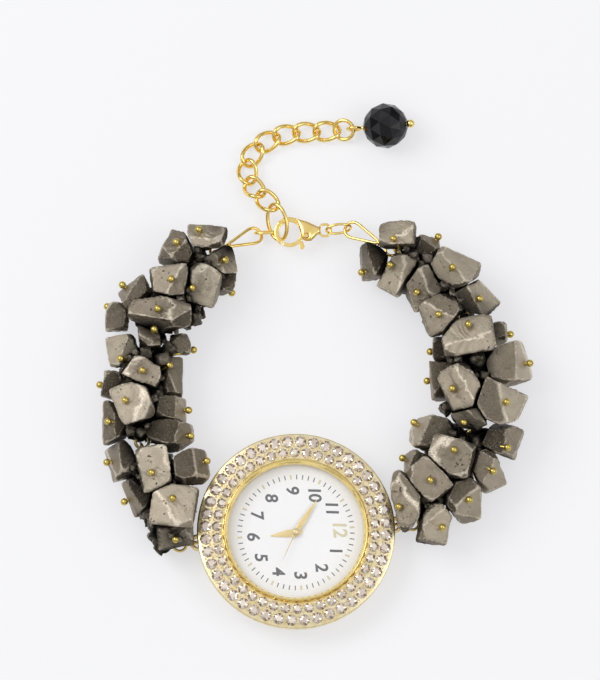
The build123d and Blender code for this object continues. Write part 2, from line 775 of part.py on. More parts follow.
pin_ball_shape = pin_ball()
bore_half = (pin_wire / 2 + bore_play) * square_share
for name in strands:
    for part in range(1, len(strands[name])):
        group = [stone for stone in nuggets if stone.strand == name and stone.part == part]
        stones = []
        pins = []
        for stone in group:
            shape = stone.block()
            start = stone.start
            heading = stone.heading
            exits = []
            for face in shape.faces():
                normal = face.normal_at()
                slope = normal.dot(heading)
                if slope > 0:
                    exits.append(((face.center() - start).dot(normal) / slope, slope))
            distance, slope = min(exits)
            ball_place = start + heading * (distance + pin_ball_radius / max(slope, 0.5))
            length = (ball_place - start).length
            level = stone.along.cross(heading).normalized()
            bore = on_plane(tube_prism(4, bore_half, length), start, level, heading)
            stones.append((shape - bore).solids().sort_by(SortBy.VOLUME)[-1])
            pins.append(pin(stone, ball_place))
        save(f"stones_{name}_{part}", stones)
        save(f"pins_{name}_{part}", pins)

# Oval links between the teardrops and the clasp, and the first big link of the extender
oval_wire = 0.56
left_oval_pixels = ((254.8, 233.6), (277.8, 232.6))
left_oval_height = 1.6
left_oval_half_width = 1.18
left_oval_tilt = 107.0
right_oval_pixels = ((351, 228), (326.5, 231))
right_oval_height = 3.4
right_oval_half_width = 1.3
right_oval_tilt = -60.0
oval_sides = 10
first_link_pixels = ((280.3, 240.9), (274.1, 204.9))
first_link_heights = (2.12, 4.32)
first_link_half_width = 2.2
first_link_tilt = -38.9
link_wire = 0.72


def tilted(along, tilt):
    """The normal of a link's plane after it is tilted about its long direction."""
    side = level_side(along)
    up = along.cross(side)
    return up * cos(radians(tilt)) - side * sin(radians(tilt))


def oval_link(start, end, half_width, tilt, wire):
    """A flat oval between two end points on the middle of its wire."""
    along = (end - start).normalized()
    ring = flat_ring(oval_sides, (end - start).length / 2, half_width, wire)
    return on_plane(ring, (start + end) / 2, along, tilted(along, tilt))


save("oval_link_left", [oval_link(
    spot(*left_oval_pixels[0], left_oval_height), spot(*left_oval_pixels[1], left_oval_height),
    left_oval_half_width, left_oval_tilt, oval_wire,
)])
save("oval_link_right", [oval_link(
    spot(*right_oval_pixels[0], right_oval_height), spot(*right_oval_pixels[1], right_oval_height),
    right_oval_half_width, right_oval_tilt, oval_wire,
)])
first_link_start = spot(*first_link_pixels[0], first_link_heights[0])
first_link_end = spot(*first_link_pixels[1], first_link_heights[1])
save("extender_link_1", [oval_link(
    first_link_start, first_link_end, first_link_half_width, first_link_tilt, link_wire,
)])

# Extender chain: twisted curb links, each a quarter turn out of flat so that they lie face up
link_pitch = 4.15
link_half_width = 1.8
link_twist = -0.75
link_levels = [3.4, 1.9, 1.25, 1.25, 1.25, 1.25, 1.25, 1.25]
link_points = 8
link_headings = [138, 128, 94, 55, 29, 11, 2.4, 3.5]
chain_play = 0.28
first_link_play = 0.6
link_half_length = (link_pitch + link_wire + chain_play) / 2


def bent_loop(path, centre, wire):
    """A closed loop of square wire through points that needn't lie in one plane."""
    half = wire * square_share / 2
    sections = []
    for number, point in enumerate(path):
        along = (path[(number + 1) % len(path)] - path[number - 1]).normalized()
        outward = point - centre
        outward = (outward - along * outward.dot(along)).normalized()
        side = along.cross(outward)
        corners = ((1, 1), (1, -1), (-1, -1), (-1, 1))
        sections.append([point + outward * (half * a) + side * (half * b) for a, b in corners])
    faces = []
    for here, there in zip(sections, sections[1:] + sections[:1]):
        for corner in range(4):
            beside = (corner + 1) % 4
            faces.append(flat(here[corner], there[corner], there[beside]))
            faces.append(flat(here[corner], there[beside], here[beside]))
    return Solid(Shell(faces))


def curb_link(start, end):
    """A twisted link between two pivots, reaching just past both."""
    along = (end - start).normalized()
    side = level_side(along)
    up = along.cross(side)
    centre = (start + end) / 2
    path = []
    spread = 1 / cos(pi / link_points)
    for number in range(link_points):
        angle = 2 * pi * (number + 0.5) / link_points
        path.append(
            centre
            + along * (link_half_length * spread * cos(angle))
            + side * (link_half_width * spread * sin(angle))
            + up * (link_twist * sin(2 * angle))
        )
    return bent_loop(path, centre, link_wire)


first_link_along = (first_link_end - first_link_start).normalized()
chain_pivots = [first_link_end - first_link_along * ((link_wire + first_link_play) / 2)]
for heading, level in zip(link_headings, link_levels):
    angle = radians(heading - view_roll)
    last = chain_pivots[-1]
    level_run = (link_pitch ** 2 - (last.Z - level) ** 2) ** 0.5
    chain_pivots.append(Vector(
        last.X + level_run * cos(angle), last.Y + level_run * sin(angle), level
    ))
for number, (start, end) in enumerate(zip(chain_pivots, chain_pivots[1:]), 2):
    save(f"extender_link_{number}", [curb_link(start, end)])

# End ring and the headpin through the black bead
end_ring_radius = 1.95
end_ring_tilt = 24.0
end_ring_rise = 22.0
bead_radius = 4.65
bead_facets = 8
bead_hole_radius = 0.45
bead_wire = 0.7
bead_eye_radius = 1.3
bead_gap = 0.3
bead_rest_share = 0.94
headpin_ball_radius = 1.0
bead_heading = 2.0

end_heading = radians(bead_heading - view_roll)
ring_along = Vector(
    cos(end_heading) * cos(radians(end_ring_rise)),
    sin(end_heading) * cos(radians(end_ring_rise)),
    sin(radians(end_ring_rise)),
)
end_step = (link_wire + chain_play) / 2
end_ring_start = chain_pivots[-1] - ring_along * end_step
end_ring_end = end_ring_start + ring_along * (2 * end_ring_radius)
save("extender_end_ring", [oval_link(
    end_ring_start, end_ring_end, end_ring_radius, end_ring_tilt, link_wire,
)])
bead_pivot = end_ring_end - ring_along * ((link_wire + bead_wire + 2 * chain_play) / 4)
bead_eye_setback = bead_eye_radius - (link_wire + bead_wire + 2 * chain_play) / 4
bead_reach = bead_eye_setback + bead_eye_radius + bead_wire / 2 + bead_gap + bead_radius
pin_rise = (bead_radius * bead_rest_share + floor_clearance - bead_pivot.Z) / bead_reach
pin_level = (1 - pin_rise ** 2) ** 0.5
pin_along = Vector(cos(end_heading) * pin_level, sin(end_heading) * pin_level, pin_rise)
bead_eye_centre = bead_pivot + pin_along * bead_eye_setback
bead_centre = bead_pivot + pin_along * bead_reach
pin_side = level_side(pin_along)
bead_eye = on_plane(flat_ring(ring_sides, bead_eye_radius, bead_eye_radius, bead_wire),
                    bead_eye_centre, pin_along, pin_side)
shank_start = bead_eye_centre + pin_along * bead_eye_radius
shank_length = 2 * bead_radius + 2 * bead_gap + bead_wire
shank = on_plane(tube_prism(stem_sides, bead_wire / 2, shank_length), shank_start, pin_side, pin_along)
head = tube_prism(eye_sides, headpin_ball_radius, headpin_ball_radius)
head = on_plane(head, shank_start + pin_along * (shank_length - bead_wire / 2), pin_side, pin_along)
save("bead_headpin", [bead_eye + shank + head])


def faceted_bead():
    """A round bead cut with rows of flats, and a hole along its Z axis."""
    rings = []
    polar_shares = (0.34, 0.78, 1.0, 0.78, 0.34)
    level_shares = (0.94, 0.62, 0.0, -0.62, -0.94)
    for row, (share, level) in enumerate(zip(polar_shares, level_shares)):
        twist = 0.5 * (row % 2)
        ring = []
        for corner in range(bead_facets):
            angle = 2 * pi * (corner + twist) / bead_facets
            ring.append(Vector(
                bead_radius * share * cos(angle), bead_radius * share * sin(angle), bead_radius * level
            ))
        rings.append(ring)
    faces = [flat(*rings[0]), flat(*rings[-1])]
    for row, (upper, lower) in enumerate(zip(rings, rings[1:])):
        for corner in range(bead_facets):
            beside = (corner + 1) % bead_facets
            if row % 2 == 0:
                faces.append(flat(upper[corner], lower[corner], upper[beside]))
                faces.append(flat(upper[beside], lower[corner], lower[beside]))
            else:
                faces.append(flat(upper[corner], lower[corner], lower[beside]))
                faces.append(flat(upper[corner], lower[beside], upper[beside]))
    return Solid(Shell(faces))


bead_hole = Pos(0, 0, -2 * bead_radius) * tube_prism(stem_sides, bead_hole_radius, 4 * bead_radius)
save("bead", [on_plane(faceted_bead() - bead_hole, bead_centre, pin_side, pin_along)])

# Lobster clasp: a flat hook with a tail ring, a sprung lever on a rivet between its cheeks
clasp_pixels = (289.5, 233.1)
clasp_tail_pixels = (325, 231)
clasp_level = 3.45
hook_inner_radius = 2.15
hook_outer_radius = 3.15
clasp_thickness = 1.6
hook_thickness = 1.0
lever_thickness = 0.6
lever_gap = 0.12
hook_start_angle = 25
hook_tip_angle = 232
lever_tip_angle = 238
tail_ring_radius = 1.2
tail_wire = 0.56
rivet_radius = 0.36
rivet_fit = 0.05
rivet_place_share = (1.048, -0.317)
lever_root_angle = 325
lever_inner_angle = 335
hook_arc_steps = 10
clasp_centre = spot(*clasp_pixels, clasp_level)
clasp_tail = spot(*clasp_tail_pixels, clasp_level)
clasp_along = (clasp_tail - clasp_centre).normalized()
tail_reach = (clasp_tail - clasp_centre).length
clasp_plane = Plane(origin=clasp_centre, x_dir=clasp_along, z_dir=(0, 0, 1)).location
cheek_shares = [(0.476, 0.863), (1.143, 0.635), (1.714, 0.317), (2.0, 0.175), (2.0, -0.143), (1.651, -0.349),
                (1.365, -0.603), (0.984, -0.619), (0.762, -0.413), (0.683, 0.063), (0.603, 0.317)]
slot_shares = [(0.381, -1.079), (0.381, -0.032), (1.397, -0.032), (1.778, -0.381), (1.778, -1.079)]
lever_shares = [(0.873, -0.111), (1.238, -0.159), (1.270, -0.444), (1.048, -0.587)]
thumb_shares = [(0.540, -0.762), (0.825, -0.635), (0.937, -1.048), (0.778, -1.190), (0.619, -1.079)]
cheek_span_share = 2.0


def sized(shares):
    """Points of the clasp from shares of its hook's outer radius."""
    return [(x * hook_outer_radius, y * hook_outer_radius) for x, y in shares]


def arc_points(radius, first, last):
    """Points on an arc about the hook's centre."""
    steps = hook_arc_steps
    return [
        (radius * cos(radians(first + (last - first) * n / steps)),
         radius * sin(radians(first + (last - first) * n / steps)))
        for n in range(steps + 1)
    ]


hook_points = arc_points(hook_outer_radius, hook_start_angle, hook_tip_angle)
hook_points += reversed(arc_points(hook_inner_radius, hook_start_angle, hook_tip_angle))
half_clasp = clasp_thickness / 2
hook = prism(hook_points, -hook_thickness / 2, hook_thickness / 2)
cheeks = prism(sized(cheek_shares), -half_clasp, half_clasp)
tail_ring = Pos(tail_reach, 0, 0) * flat_ring(eye_sides, tail_ring_radius, tail_ring_radius, tail_wire)
tail_neck_start = cheek_span_share * hook_outer_radius - tail_wire
tail_neck = Pos(tail_neck_start, 0, 0) * Box(
    tail_reach - tail_ring_radius - tail_neck_start, tail_wire, tail_wire,
    align=(Align.MIN, Align.CENTER, Align.CENTER),
)
slot_half = lever_thickness / 2 + lever_gap
slot = prism(sized(slot_shares), -slot_half, slot_half)
rivet_place = sized([rivet_place_share])[0]
rivet_bore = Pos(*rivet_place, -clasp_thickness) * tube_prism(
    eye_sides, rivet_radius + rivet_fit, clasp_thickness * 2
)
clasp_body = hook + cheeks + tail_neck + tail_ring - slot - rivet_bore
save("clasp_body", [clasp_plane * clasp_body])

rivet = Pos(*rivet_place, -half_clasp) * tube_prism(eye_sides, rivet_radius, clasp_thickness)
save("clasp_rivet", [clasp_plane * rivet])

lever_points = sized(lever_shares)
lever_points += arc_points(hook_outer_radius - lever_gap, lever_root_angle, lever_tip_angle)
lever_points += reversed(arc_points(hook_inner_radius + lever_gap, lever_inner_angle, lever_tip_angle))
lever_arm = prism(lever_points, -lever_thickness / 2, lever_thickness / 2)
thumb = prism(sized(thumb_shares), -lever_thickness / 2, lever_thickness / 2)
lever_bore = Pos(*rivet_place, -half_clasp) * tube_prism(
    eye_sides, rivet_radius + rivet_fit, clasp_thickness
)
save("clasp_lever", [clasp_plane * (lever_arm + thumb - lever_bore)])
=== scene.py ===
import json
from math import atan2, cos, hypot, pi, radians, sin, sqrt, tan

import bmesh
import bpy
import numpy as np
from mathutils import kdtree, Matrix, noise, Vector


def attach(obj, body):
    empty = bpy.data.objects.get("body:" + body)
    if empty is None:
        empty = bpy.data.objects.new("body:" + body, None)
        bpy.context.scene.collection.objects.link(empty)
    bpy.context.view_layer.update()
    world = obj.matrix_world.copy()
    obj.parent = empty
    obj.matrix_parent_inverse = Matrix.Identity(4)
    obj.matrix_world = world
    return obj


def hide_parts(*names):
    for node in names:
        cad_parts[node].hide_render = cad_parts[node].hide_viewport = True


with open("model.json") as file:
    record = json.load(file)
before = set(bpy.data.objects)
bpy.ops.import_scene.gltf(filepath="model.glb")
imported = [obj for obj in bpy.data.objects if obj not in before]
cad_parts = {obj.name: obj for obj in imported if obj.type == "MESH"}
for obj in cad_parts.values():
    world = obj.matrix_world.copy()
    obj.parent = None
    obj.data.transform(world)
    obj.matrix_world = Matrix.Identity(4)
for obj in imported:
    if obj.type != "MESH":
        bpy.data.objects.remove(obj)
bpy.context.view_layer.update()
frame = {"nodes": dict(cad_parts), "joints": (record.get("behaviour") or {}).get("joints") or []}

# The case band is a turned ring of pale gold-plated zinc alloy, with a wire loop cast on
# each side for the strands and a pocket on one side in which the crown sits.
mm = 0.001
x_axis, y_axis, z_axis = Vector((1, 0, 0)), Vector((0, 1, 0)), Vector((0, 0, 1))
pivot = {j["name"]: Vector(j["pos_m"]) / mm for j in frame["joints"] if j.get("pos_m")}
case_radius = 19.2
case_bore = 16.6
case_bottom = 0.2
band_top = 5.0
band_edge = 0.35
lug_level = 3.2
lug_wire = 0.9
lug_loop_radius = 1.35
lug_loop_centre = 19.8
lug_loop_steps = 32
crown_level = 2.6
crown_pocket_radius = 1.45
crown_pocket_depth = 1.6
crown_pocket_sides = 32
turning_steps = 144
corner_share = 0.45
wire_sides = 14
wire_tip_shares = (0.0, 0.5, 0.85)
wire_tip_least = 0.02
mark_size = 0.25
mark_roughness = 0.12


class Value:
    """A number that varies over a surface, with Python's operators as Math nodes."""

    def __init__(self, finish, socket):
        self.finish = finish
        self.socket = socket

    def maths(self, operation, *terms):
        return self.finish.node("ShaderNodeMath", {"operation": operation}, dict(enumerate(terms)))

    def __add__(self, other):
        return self.maths("ADD", self, other)

    def __radd__(self, other):
        return self.maths("ADD", other, self)

    def __sub__(self, other):
        return self.maths("SUBTRACT", self, other)

    def __rsub__(self, other):
        return self.maths("SUBTRACT", other, self)

    def __mul__(self, other):
        return self.maths("MULTIPLY", self, other)

    def __rmul__(self, other):
        return self.maths("MULTIPLY", other, self)


class Finish:
    """The finish of one piece, built as a material from nodes."""

    def __init__(self, name, **constants):
        self.material = bpy.data.materials.new(name)
        self.material.use_nodes = True
        self.tree = self.material.node_tree
        self.shader = self.tree.nodes["Principled BSDF"]
        for socket, value in constants.items():
            self.shader.inputs[socket.replace("_", " ")].default_value = value
        self.place = self.node("ShaderNodeTexCoord", output="Object")

    def node(self, kind, settings=None, values=None, output=0):
        """One node: its settings first, then the values or links of its sockets."""
        made = self.tree.nodes.new(kind)
        for name, value in (settings or {}).items():
            if name == "stops":
                for element, (position, color) in zip(made.color_ramp.elements, value):
                    element.position = position
                    element.color = (*color, 1)
            else:
                setattr(made, name, value)
        for name, value in (values or {}).items():
            self.feed(made.inputs[name], value)
        return Value(self, made.outputs[output])

    def feed(self, socket, value):
        if isinstance(value, Value):
            self.tree.links.new(value.socket, socket)
        elif isinstance(value, tuple) and len(value) == 3 and len(socket.default_value) == 4:
            socket.default_value = (*value, 1)
        else:
            socket.default_value = value

    def grain(self, size, detail=3.0, roughness=0.55, distortion=0.0, stretch=None):
        """Noise from 0 to 1 with spots of about a size in millimetres."""
        place = self.place
        if stretch:
            place = self.node(
                "ShaderNodeVectorMath", {"operation": "MULTIPLY"}, {0: place, 1: stretch}
            )
        return self.node(
            "ShaderNodeTexNoise", None,
            {"Vector": place, "Scale": 1 / (size * mm), "Detail": detail,
             "Roughness": roughness, "Distortion": distortion},
        )

    def band(self, value, low, high):
        """A value stretched so that low gives 0 and high gives 1."""
        return self.node(
            "ShaderNodeMapRange", {"clamp": True},
            {"Value": value, "From Min": low, "From Max": high},
        )

    def stored(self, name):
        """A number kept on the mesh."""
        return self.node("ShaderNodeAttribute", {"attribute_name": name}, output="Fac")

    def mix(self, share, first, second):
        """One colour where the share is 0, another where it is 1."""
        return self.node("ShaderNodeMix", {"data_type": "RGBA"}, {0: share, 6: first, 7: second}, 2)

    def relief(self, height, depth):
        """Bump from a height of 0 to 1, its depth in millimetres."""
        values = {"Height": height, "Distance": depth * mm}
        return self.node("ShaderNodeBump", None, values, "Normal")

    def wear(self, **sockets):
        """Drive the shader's sockets with what varies over the surface."""
        for socket, value in sockets.items():
            self.feed(self.shader.inputs[socket.replace("_", " ")], value)
        return self


def plating(name, bright, dull, roughness, patch_size=2.2, depth=0.006):
    """Gold plating: polished, a little uneven in colour, with fine handling marks."""
    finish = Finish(name, Metallic=1.0)
    patches = finish.grain(patch_size, detail=4)
    marks = finish.grain(mark_size, detail=2, stretch=(1, 1, 4))
    return finish.wear(
        Base_Color=finish.mix(finish.band(patches, 0.35, 0.75), bright, dull),
        Roughness=roughness + mark_roughness * finish.band(marks, 0.45, 0.8),
        Normal=finish.relief(marks + patches, depth),
    )


def mesh_from(name, form):
    """A mesh from a form, which is its points in millimetres and its faces."""
    points, faces = form
    mesh = bpy.data.meshes.new(name)
    mesh.from_pydata([Vector(point) * mm for point in points], [], faces)
    return mesh


def placed(name, data):
    """A new object of the scene."""
    made = bpy.data.objects.new(name, data)
    bpy.context.scene.collection.objects.link(made)
    return made


def settled(made):
    """An object's mesh as its modifiers or its lettering make it."""
    bpy.context.view_layer.update()
    graph = bpy.context.evaluated_depsgraph_get()
    return bpy.data.meshes.new_from_object(made.evaluated_get(graph))


def declared(made, body, stands_for=()):
    """Tell the frame a piece's body and the nodes that it replaces."""
    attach(made, body)
    if stands_for:
        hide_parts(*stands_for)
    return made


def piece(name, form, body, finish, stands_for=(), flat=False):
    mesh = mesh_from(name, form)
    mesh.validate()
    mesh.polygons.foreach_set("use_smooth", [not flat] * len(mesh.polygons))
    mesh.materials.append(finish.material)
    return declared(placed(name, mesh), body, stands_for)


def skin(rows, around, closed=False, flipped=False):
    """Faces between neighbouring rows of points, each row going once round."""
    faces = []
    for row in range(rows if closed else rows - 1):
        here, there = row * around, (row + 1) % rows * around
        for step in range(around):
            beside = (step + 1) % around
            face = (here + step, there + step, there + beside, here + beside)
            faces.append((face[0], face[3], face[2], face[1]) if flipped else face)
    return faces


def turned(profile, steps=turning_steps):
    """Turn a closed outline of radius and height round the upright axis."""
    points = []
    for step in range(steps):
        angle = 2 * pi * step / steps
        points += [(radius * cos(angle), radius * sin(angle), height) for radius, height in profile]
    return points, skin(steps, len(profile), closed=True)


def softened(outline, edge, steps=3):
    """Round every corner of a closed outline by an edge radius."""
    rounded = []
    for number, corner in enumerate(outline):
        corner = Vector(corner)
        back = Vector(outline[number - 1]) - corner
        ahead = Vector(outline[(number + 1) % len(outline)]) - corner
        start = corner + back.normalized() * min(edge, back.length * corner_share)
        end = corner + ahead.normalized() * min(edge, ahead.length * corner_share)
        for step in range(steps + 1):
            share = step / steps
            near = start.lerp(corner, share)
            far = corner.lerp(end, share)
            rounded.append(tuple(near.lerp(far, share)))
    return rounded


def wire(path, radius, closed=False, sides=wire_sides):
    """Round wire along a path, with domed ends where it is open."""
    path = [Vector(point) for point in path]
    radii = [radius] * len(path)
    if not closed:
        ahead = (path[1] - path[0]).normalized()
        behind = (path[-1] - path[-2]).normalized()
        reaches = [(share, sqrt(1 - share * share)) for share in wire_tip_shares]
        tip = [path[0] - ahead * radius * reach for _, reach in reaches]
        tail = [path[-1] + behind * radius * reach for _, reach in reversed(reaches)]
        domed = [radius * max(share, wire_tip_least) for share, _ in reaches]
        path = tip + path + tail
        radii = domed + radii + domed[::-1]
    count = len(path)
    centre = sum(path, Vector()) / count
    runs = []
    for number in range(count):
        before = path[number - 1] if closed or number else path[0]
        after = path[(number + 1) % count] if closed or number < count - 1 else path[-1]
        runs.append((after - before).normalized())
    normal = runs[0].cross(path[0] - centre)
    if normal.length < 1e-6:
        normal = runs[0].orthogonal()
    normal.normalize()
    points = []
    for place, run, ring in zip(path, runs, radii):
        normal = (normal - run * normal.dot(run)).normalized()
        side = run.cross(normal)
        for step in range(sides):
            angle = 2 * pi * step / sides
            points.append(place + normal * (ring * cos(angle)) + side * (ring * sin(angle)))
    faces = skin(count, sides, closed, flipped=True)
    if not closed:
        faces.append(tuple(reversed(range(sides))))
        faces.append(tuple((count - 1) * sides + step for step in range(sides)))
    return points, faces


def ellipse(centre, along, side, half_length, half_width, steps, first=0):
    """Points all round an ellipse, from an angle on."""
    angles = [first + 2 * pi * step / steps for step in range(steps)]
    return [
        centre + along * (half_length * cos(angle)) + side * (half_width * sin(angle))
        for angle in angles
    ]


def carved(target, cutter_form):
    """Take a form out of an object's mesh."""
    cutter = placed("cutter", mesh_from("cutter", cutter_form))
    tool = target.modifiers.new("cut", "BOOLEAN")
    tool.operation = "DIFFERENCE"
    tool.solver = "EXACT"
    tool.object = cutter
    result = settled(target)
    target.modifiers.clear()
    target.data = result
    bpy.data.objects.remove(cutter)
    return target


def sharpened(made, angle=32):
    """Keep edges sharper than an angle crisp, and the rest smooth."""
    shape = bmesh.new()
    shape.from_mesh(made.data)
    for edge in shape.edges:
        edge.smooth = len(edge.link_faces) == 2 and edge.calc_face_angle(0) < radians(angle)
    for face in shape.faces:
        face.smooth = True
    shape.to_mesh(made.data)
    shape.free()
    return made


band_profile = softened(
    [(case_bore, case_bottom), (case_radius, case_bottom), (case_radius, band_top),
     (case_bore, band_top)],
    band_edge,
)
band_plating = plating("band_plating", (0.95, 0.79, 0.47), (0.84, 0.66, 0.34), roughness=0.2)
band = piece(
    "case_band_turned", turned(band_profile), "watch_head", band_plating,
    ["case_band"],
)
pocket_ends = [
    (0, -case_radius + reach, crown_level) for reach in (crown_pocket_depth, -crown_pocket_depth)
]
sharpened(carved(band, wire(pocket_ends, crown_pocket_radius, sides=crown_pocket_sides)))
for number, (outward, first) in enumerate(((-1, pi), (1, 0)), 1):
    path = ellipse(
        Vector((outward * lug_loop_centre, 0, lug_level)), x_axis, y_axis, lug_loop_radius,
        lug_loop_radius, lug_loop_steps, first,
    )
    loop = wire(path, lug_wire / 2, closed=True)
    piece(f"lug_loop_{number}", loop, "watch_head", band_plating)

# The case back is a satin steel disc snapped into the band, with a ring turned into it, and
# the watch stands on it.
back_radius = 16.56
back_thickness = 1.2
back_edge = 0.25
back_edge_share = 0.3
back_groove = 13.4
back_groove_width = 0.5
back_groove_depth = 0.15
back_groove_flanks = (0.25, 0.75)
axis_radius = 0.001


def grained(name, dark, light, size, detail, roughness, spread, depth, metallic=0.0, stretch=None):
    """A finish whose colour, roughness and relief all follow one grain."""
    finish = Finish(name, Metallic=metallic)
    grain = finish.grain(size, detail, stretch=stretch)
    return finish.wear(
        Base_Color=finish.mix(grain, dark, light),
        Roughness=roughness + spread * grain,
        Normal=finish.relief(grain, depth),
    )


back_profile = [(axis_radius, 0.0), (back_groove, 0.0)]
back_profile += [
    (back_groove + back_groove_width * share, back_groove_depth) for share in back_groove_flanks
]
back_profile += [
    (back_groove + back_groove_width, 0.0), (back_radius - back_edge, 0.0),
    (back_radius - back_edge * back_edge_share, back_edge * back_edge_share),
    (back_radius, back_edge), (back_radius, back_thickness), (axis_radius, back_thickness),
]
back_satin = grained(
    "case_back_satin", (0.62, 0.61, 0.59), (0.74, 0.73, 0.71), size=0.3, detail=3,
    roughness=0.28, spread=0.16, depth=0.01, metallic=1.0, stretch=(1, 14, 1),
)
sharpened(piece(
    "case_back_disc", turned(back_profile), "watch_head", back_satin, ["case_back"]
))

# The bezel is a turned ring of the same pale plated alloy. Its sloping seat is drilled for
# two rows of stones with small raised beads of metal between them, and a polished lip of
# deeper gold frames the dial.
bezel_radius = 20.0
bezel_bottom = 5.0
bezel_bore = 13.69
bezel_edge = 0.3
bezel_edge_top = 6.3
bezel_seat_top = 6.9
bezel_lip_foot = 14.85
bezel_lip_radius = 14.4
bezel_lip_top = 8.1
bezel_lip_edge = 0.18
bezel_lip_steps = 180
lip_tuck = 0.2
lip_step = 0.05
lip_flank = 0.12
lip_crown = 0.1
seat_slope = atan2(bezel_seat_top - bezel_edge_top, bezel_radius - bezel_lip_foot)


def seat_height(radius):
    """Height of the bezel's sloping seat at a radius."""
    return bezel_seat_top - (radius - bezel_lip_foot) * tan(seat_slope)


seat_profile = softened(
    [(bezel_lip_foot - lip_tuck, bezel_bottom), (bezel_radius, bezel_bottom),
     (bezel_radius, bezel_edge_top), (bezel_lip_foot - lip_tuck, bezel_seat_top)],
    bezel_edge,
)
lip_profile = softened(
    [(bezel_bore, bezel_bottom), (bezel_lip_foot, bezel_bottom),
     (bezel_lip_foot, bezel_seat_top - lip_step),
     (bezel_lip_radius + lip_flank, bezel_lip_top - lip_crown),
     (bezel_lip_radius - lip_crown, bezel_lip_top), (bezel_bore, bezel_seat_top)],
    bezel_lip_edge,
)
bezel_plating = plating(
    "bezel_plating", (0.95, 0.85, 0.57), (0.78, 0.62, 0.30), roughness=0.26, patch_size=1.2
)
lip_plating = plating(
    "lip_plating", (0.93, 0.74, 0.31), (0.84, 0.64, 0.23), roughness=0.16, patch_size=5, depth=0.001
)
piece("bezel_seat_ring", turned(seat_profile), "watch_head", bezel_plating)
piece(
    "bezel_lip", turned(lip_profile, bezel_lip_steps), "watch_head", lip_plating,
    ["bezel"],
)

# Every stone is a round brilliant of pale champagne glass with a foil back, held by four
# grains of metal pushed over its edge, which it shares with the stones beside it.
stone_rows = (
    ("outer", 18.3, 44, 1.21),
    ("inner", 16.0, 42, 1.08),
)
stone_rise = 0.62
crown_facets = 8
facets_per_stone = 1 + 5 * crown_facets
table_share = 0.46
kite_share = 0.84
kite_rise_share = 0.72
girdle_lift = 0.2
base_share = 0.97
base_lift = 0.02
stone_turn = 1.3
grain_radius = 0.2
grain_lift = 0.1
grain_offset = 0.62
level_facet = 0.96
glint_order = (0.95, 0.1, 0.75, 0.3, 1.0, 0.0, 0.55, 0.9, 0.2, 0.7, 1.0, 0.35, 0.85)
champagne = (0.93, 0.81, 0.66)
champagne_light = (0.98, 0.90, 0.80)
foil_shadow = (0.26, 0.14, 0.07)


def ring_of(radius, height, steps, twist=0.0):
    """Points evenly round the upright axis, turned by a share of a step."""
    angles = [2 * pi * (step + twist) / steps for step in range(steps)]
    return [Vector((radius * cos(angle), radius * sin(angle), height)) for angle in angles]


def brilliant(radius):
    """Table, star and kite facets of a round cut stone, its base on the seat."""
    points = ring_of(radius * table_share, stone_rise, crown_facets, 0.5)
    points += ring_of(radius * kite_share, stone_rise * kite_rise_share, crown_facets)
    points += ring_of(radius, girdle_lift, crown_facets, 0.5)
    points += ring_of(radius * base_share, base_lift, crown_facets, 0.5)
    faces = [tuple(range(crown_facets))]
    table, kite, girdle, base = (row * crown_facets for row in range(4))
    for corner in range(crown_facets):
        before, beside = (corner - 1) % crown_facets, (corner + 1) % crown_facets
        faces += [
            (table + corner, kite + beside, table + beside),
            (table + corner, kite + corner, girdle + corner),
            (table + corner, girdle + corner, kite + beside),
            (kite + corner, girdle + before, girdle + corner),
            (girdle + corner, base + corner, base + beside, girdle + beside),
        ]
    return points, faces


def joined(*forms):
    """Several forms as one."""
    points = []
    faces = []
    for form_points, form_faces in forms:
        shift = len(points)
        points += list(form_points)
        faces += [tuple(corner + shift for corner in face) for face in form_faces]
    return points, faces


def set_at(form, place):
    """A form moved by a placement."""
    points, faces = form
    return [place @ Vector(point) for point in points], faces


def seat_place(radius, angle, turn=0.0):
    """Placement on the sloping seat, its own X pointing outward."""
    return (
        Matrix.Rotation(angle, 4, "Z")
        @ Matrix.Translation((radius, 0, seat_height(radius)))
        @ Matrix.Rotation(seat_slope, 4, "Y")
        @ Matrix.Rotation(turn, 4, "Z")
    )


def ball(centre, radius, rings, segments):
    """A ball of metal, as a grain or as the end of a pin."""
    points = [Vector((0, 0, radius))]
    for ring in range(1, rings):
        polar = pi * ring / rings
        points += ring_of(radius * sin(polar), radius * cos(polar), segments)
    points.append(Vector((0, 0, -radius)))
    last = 1 + (rings - 2) * segments
    after = [(s + 1) % segments for s in range(segments)]
    faces = [(0, 1 + s, 1 + after[s]) for s in range(segments)]
    faces += [tuple(1 + corner for corner in face) for face in skin(rings - 1, segments)]
    faces += [(last + after[s], last + s, len(points) - 1) for s in range(segments)]
    return [point + Vector(centre) for point in points], faces


def kept_on(made, name, domain, values):
    """Keep a number for every point or face of a mesh, which its finish reads."""
    made.data.attributes.new(name, "FLOAT", domain).data.foreach_set("value", values)


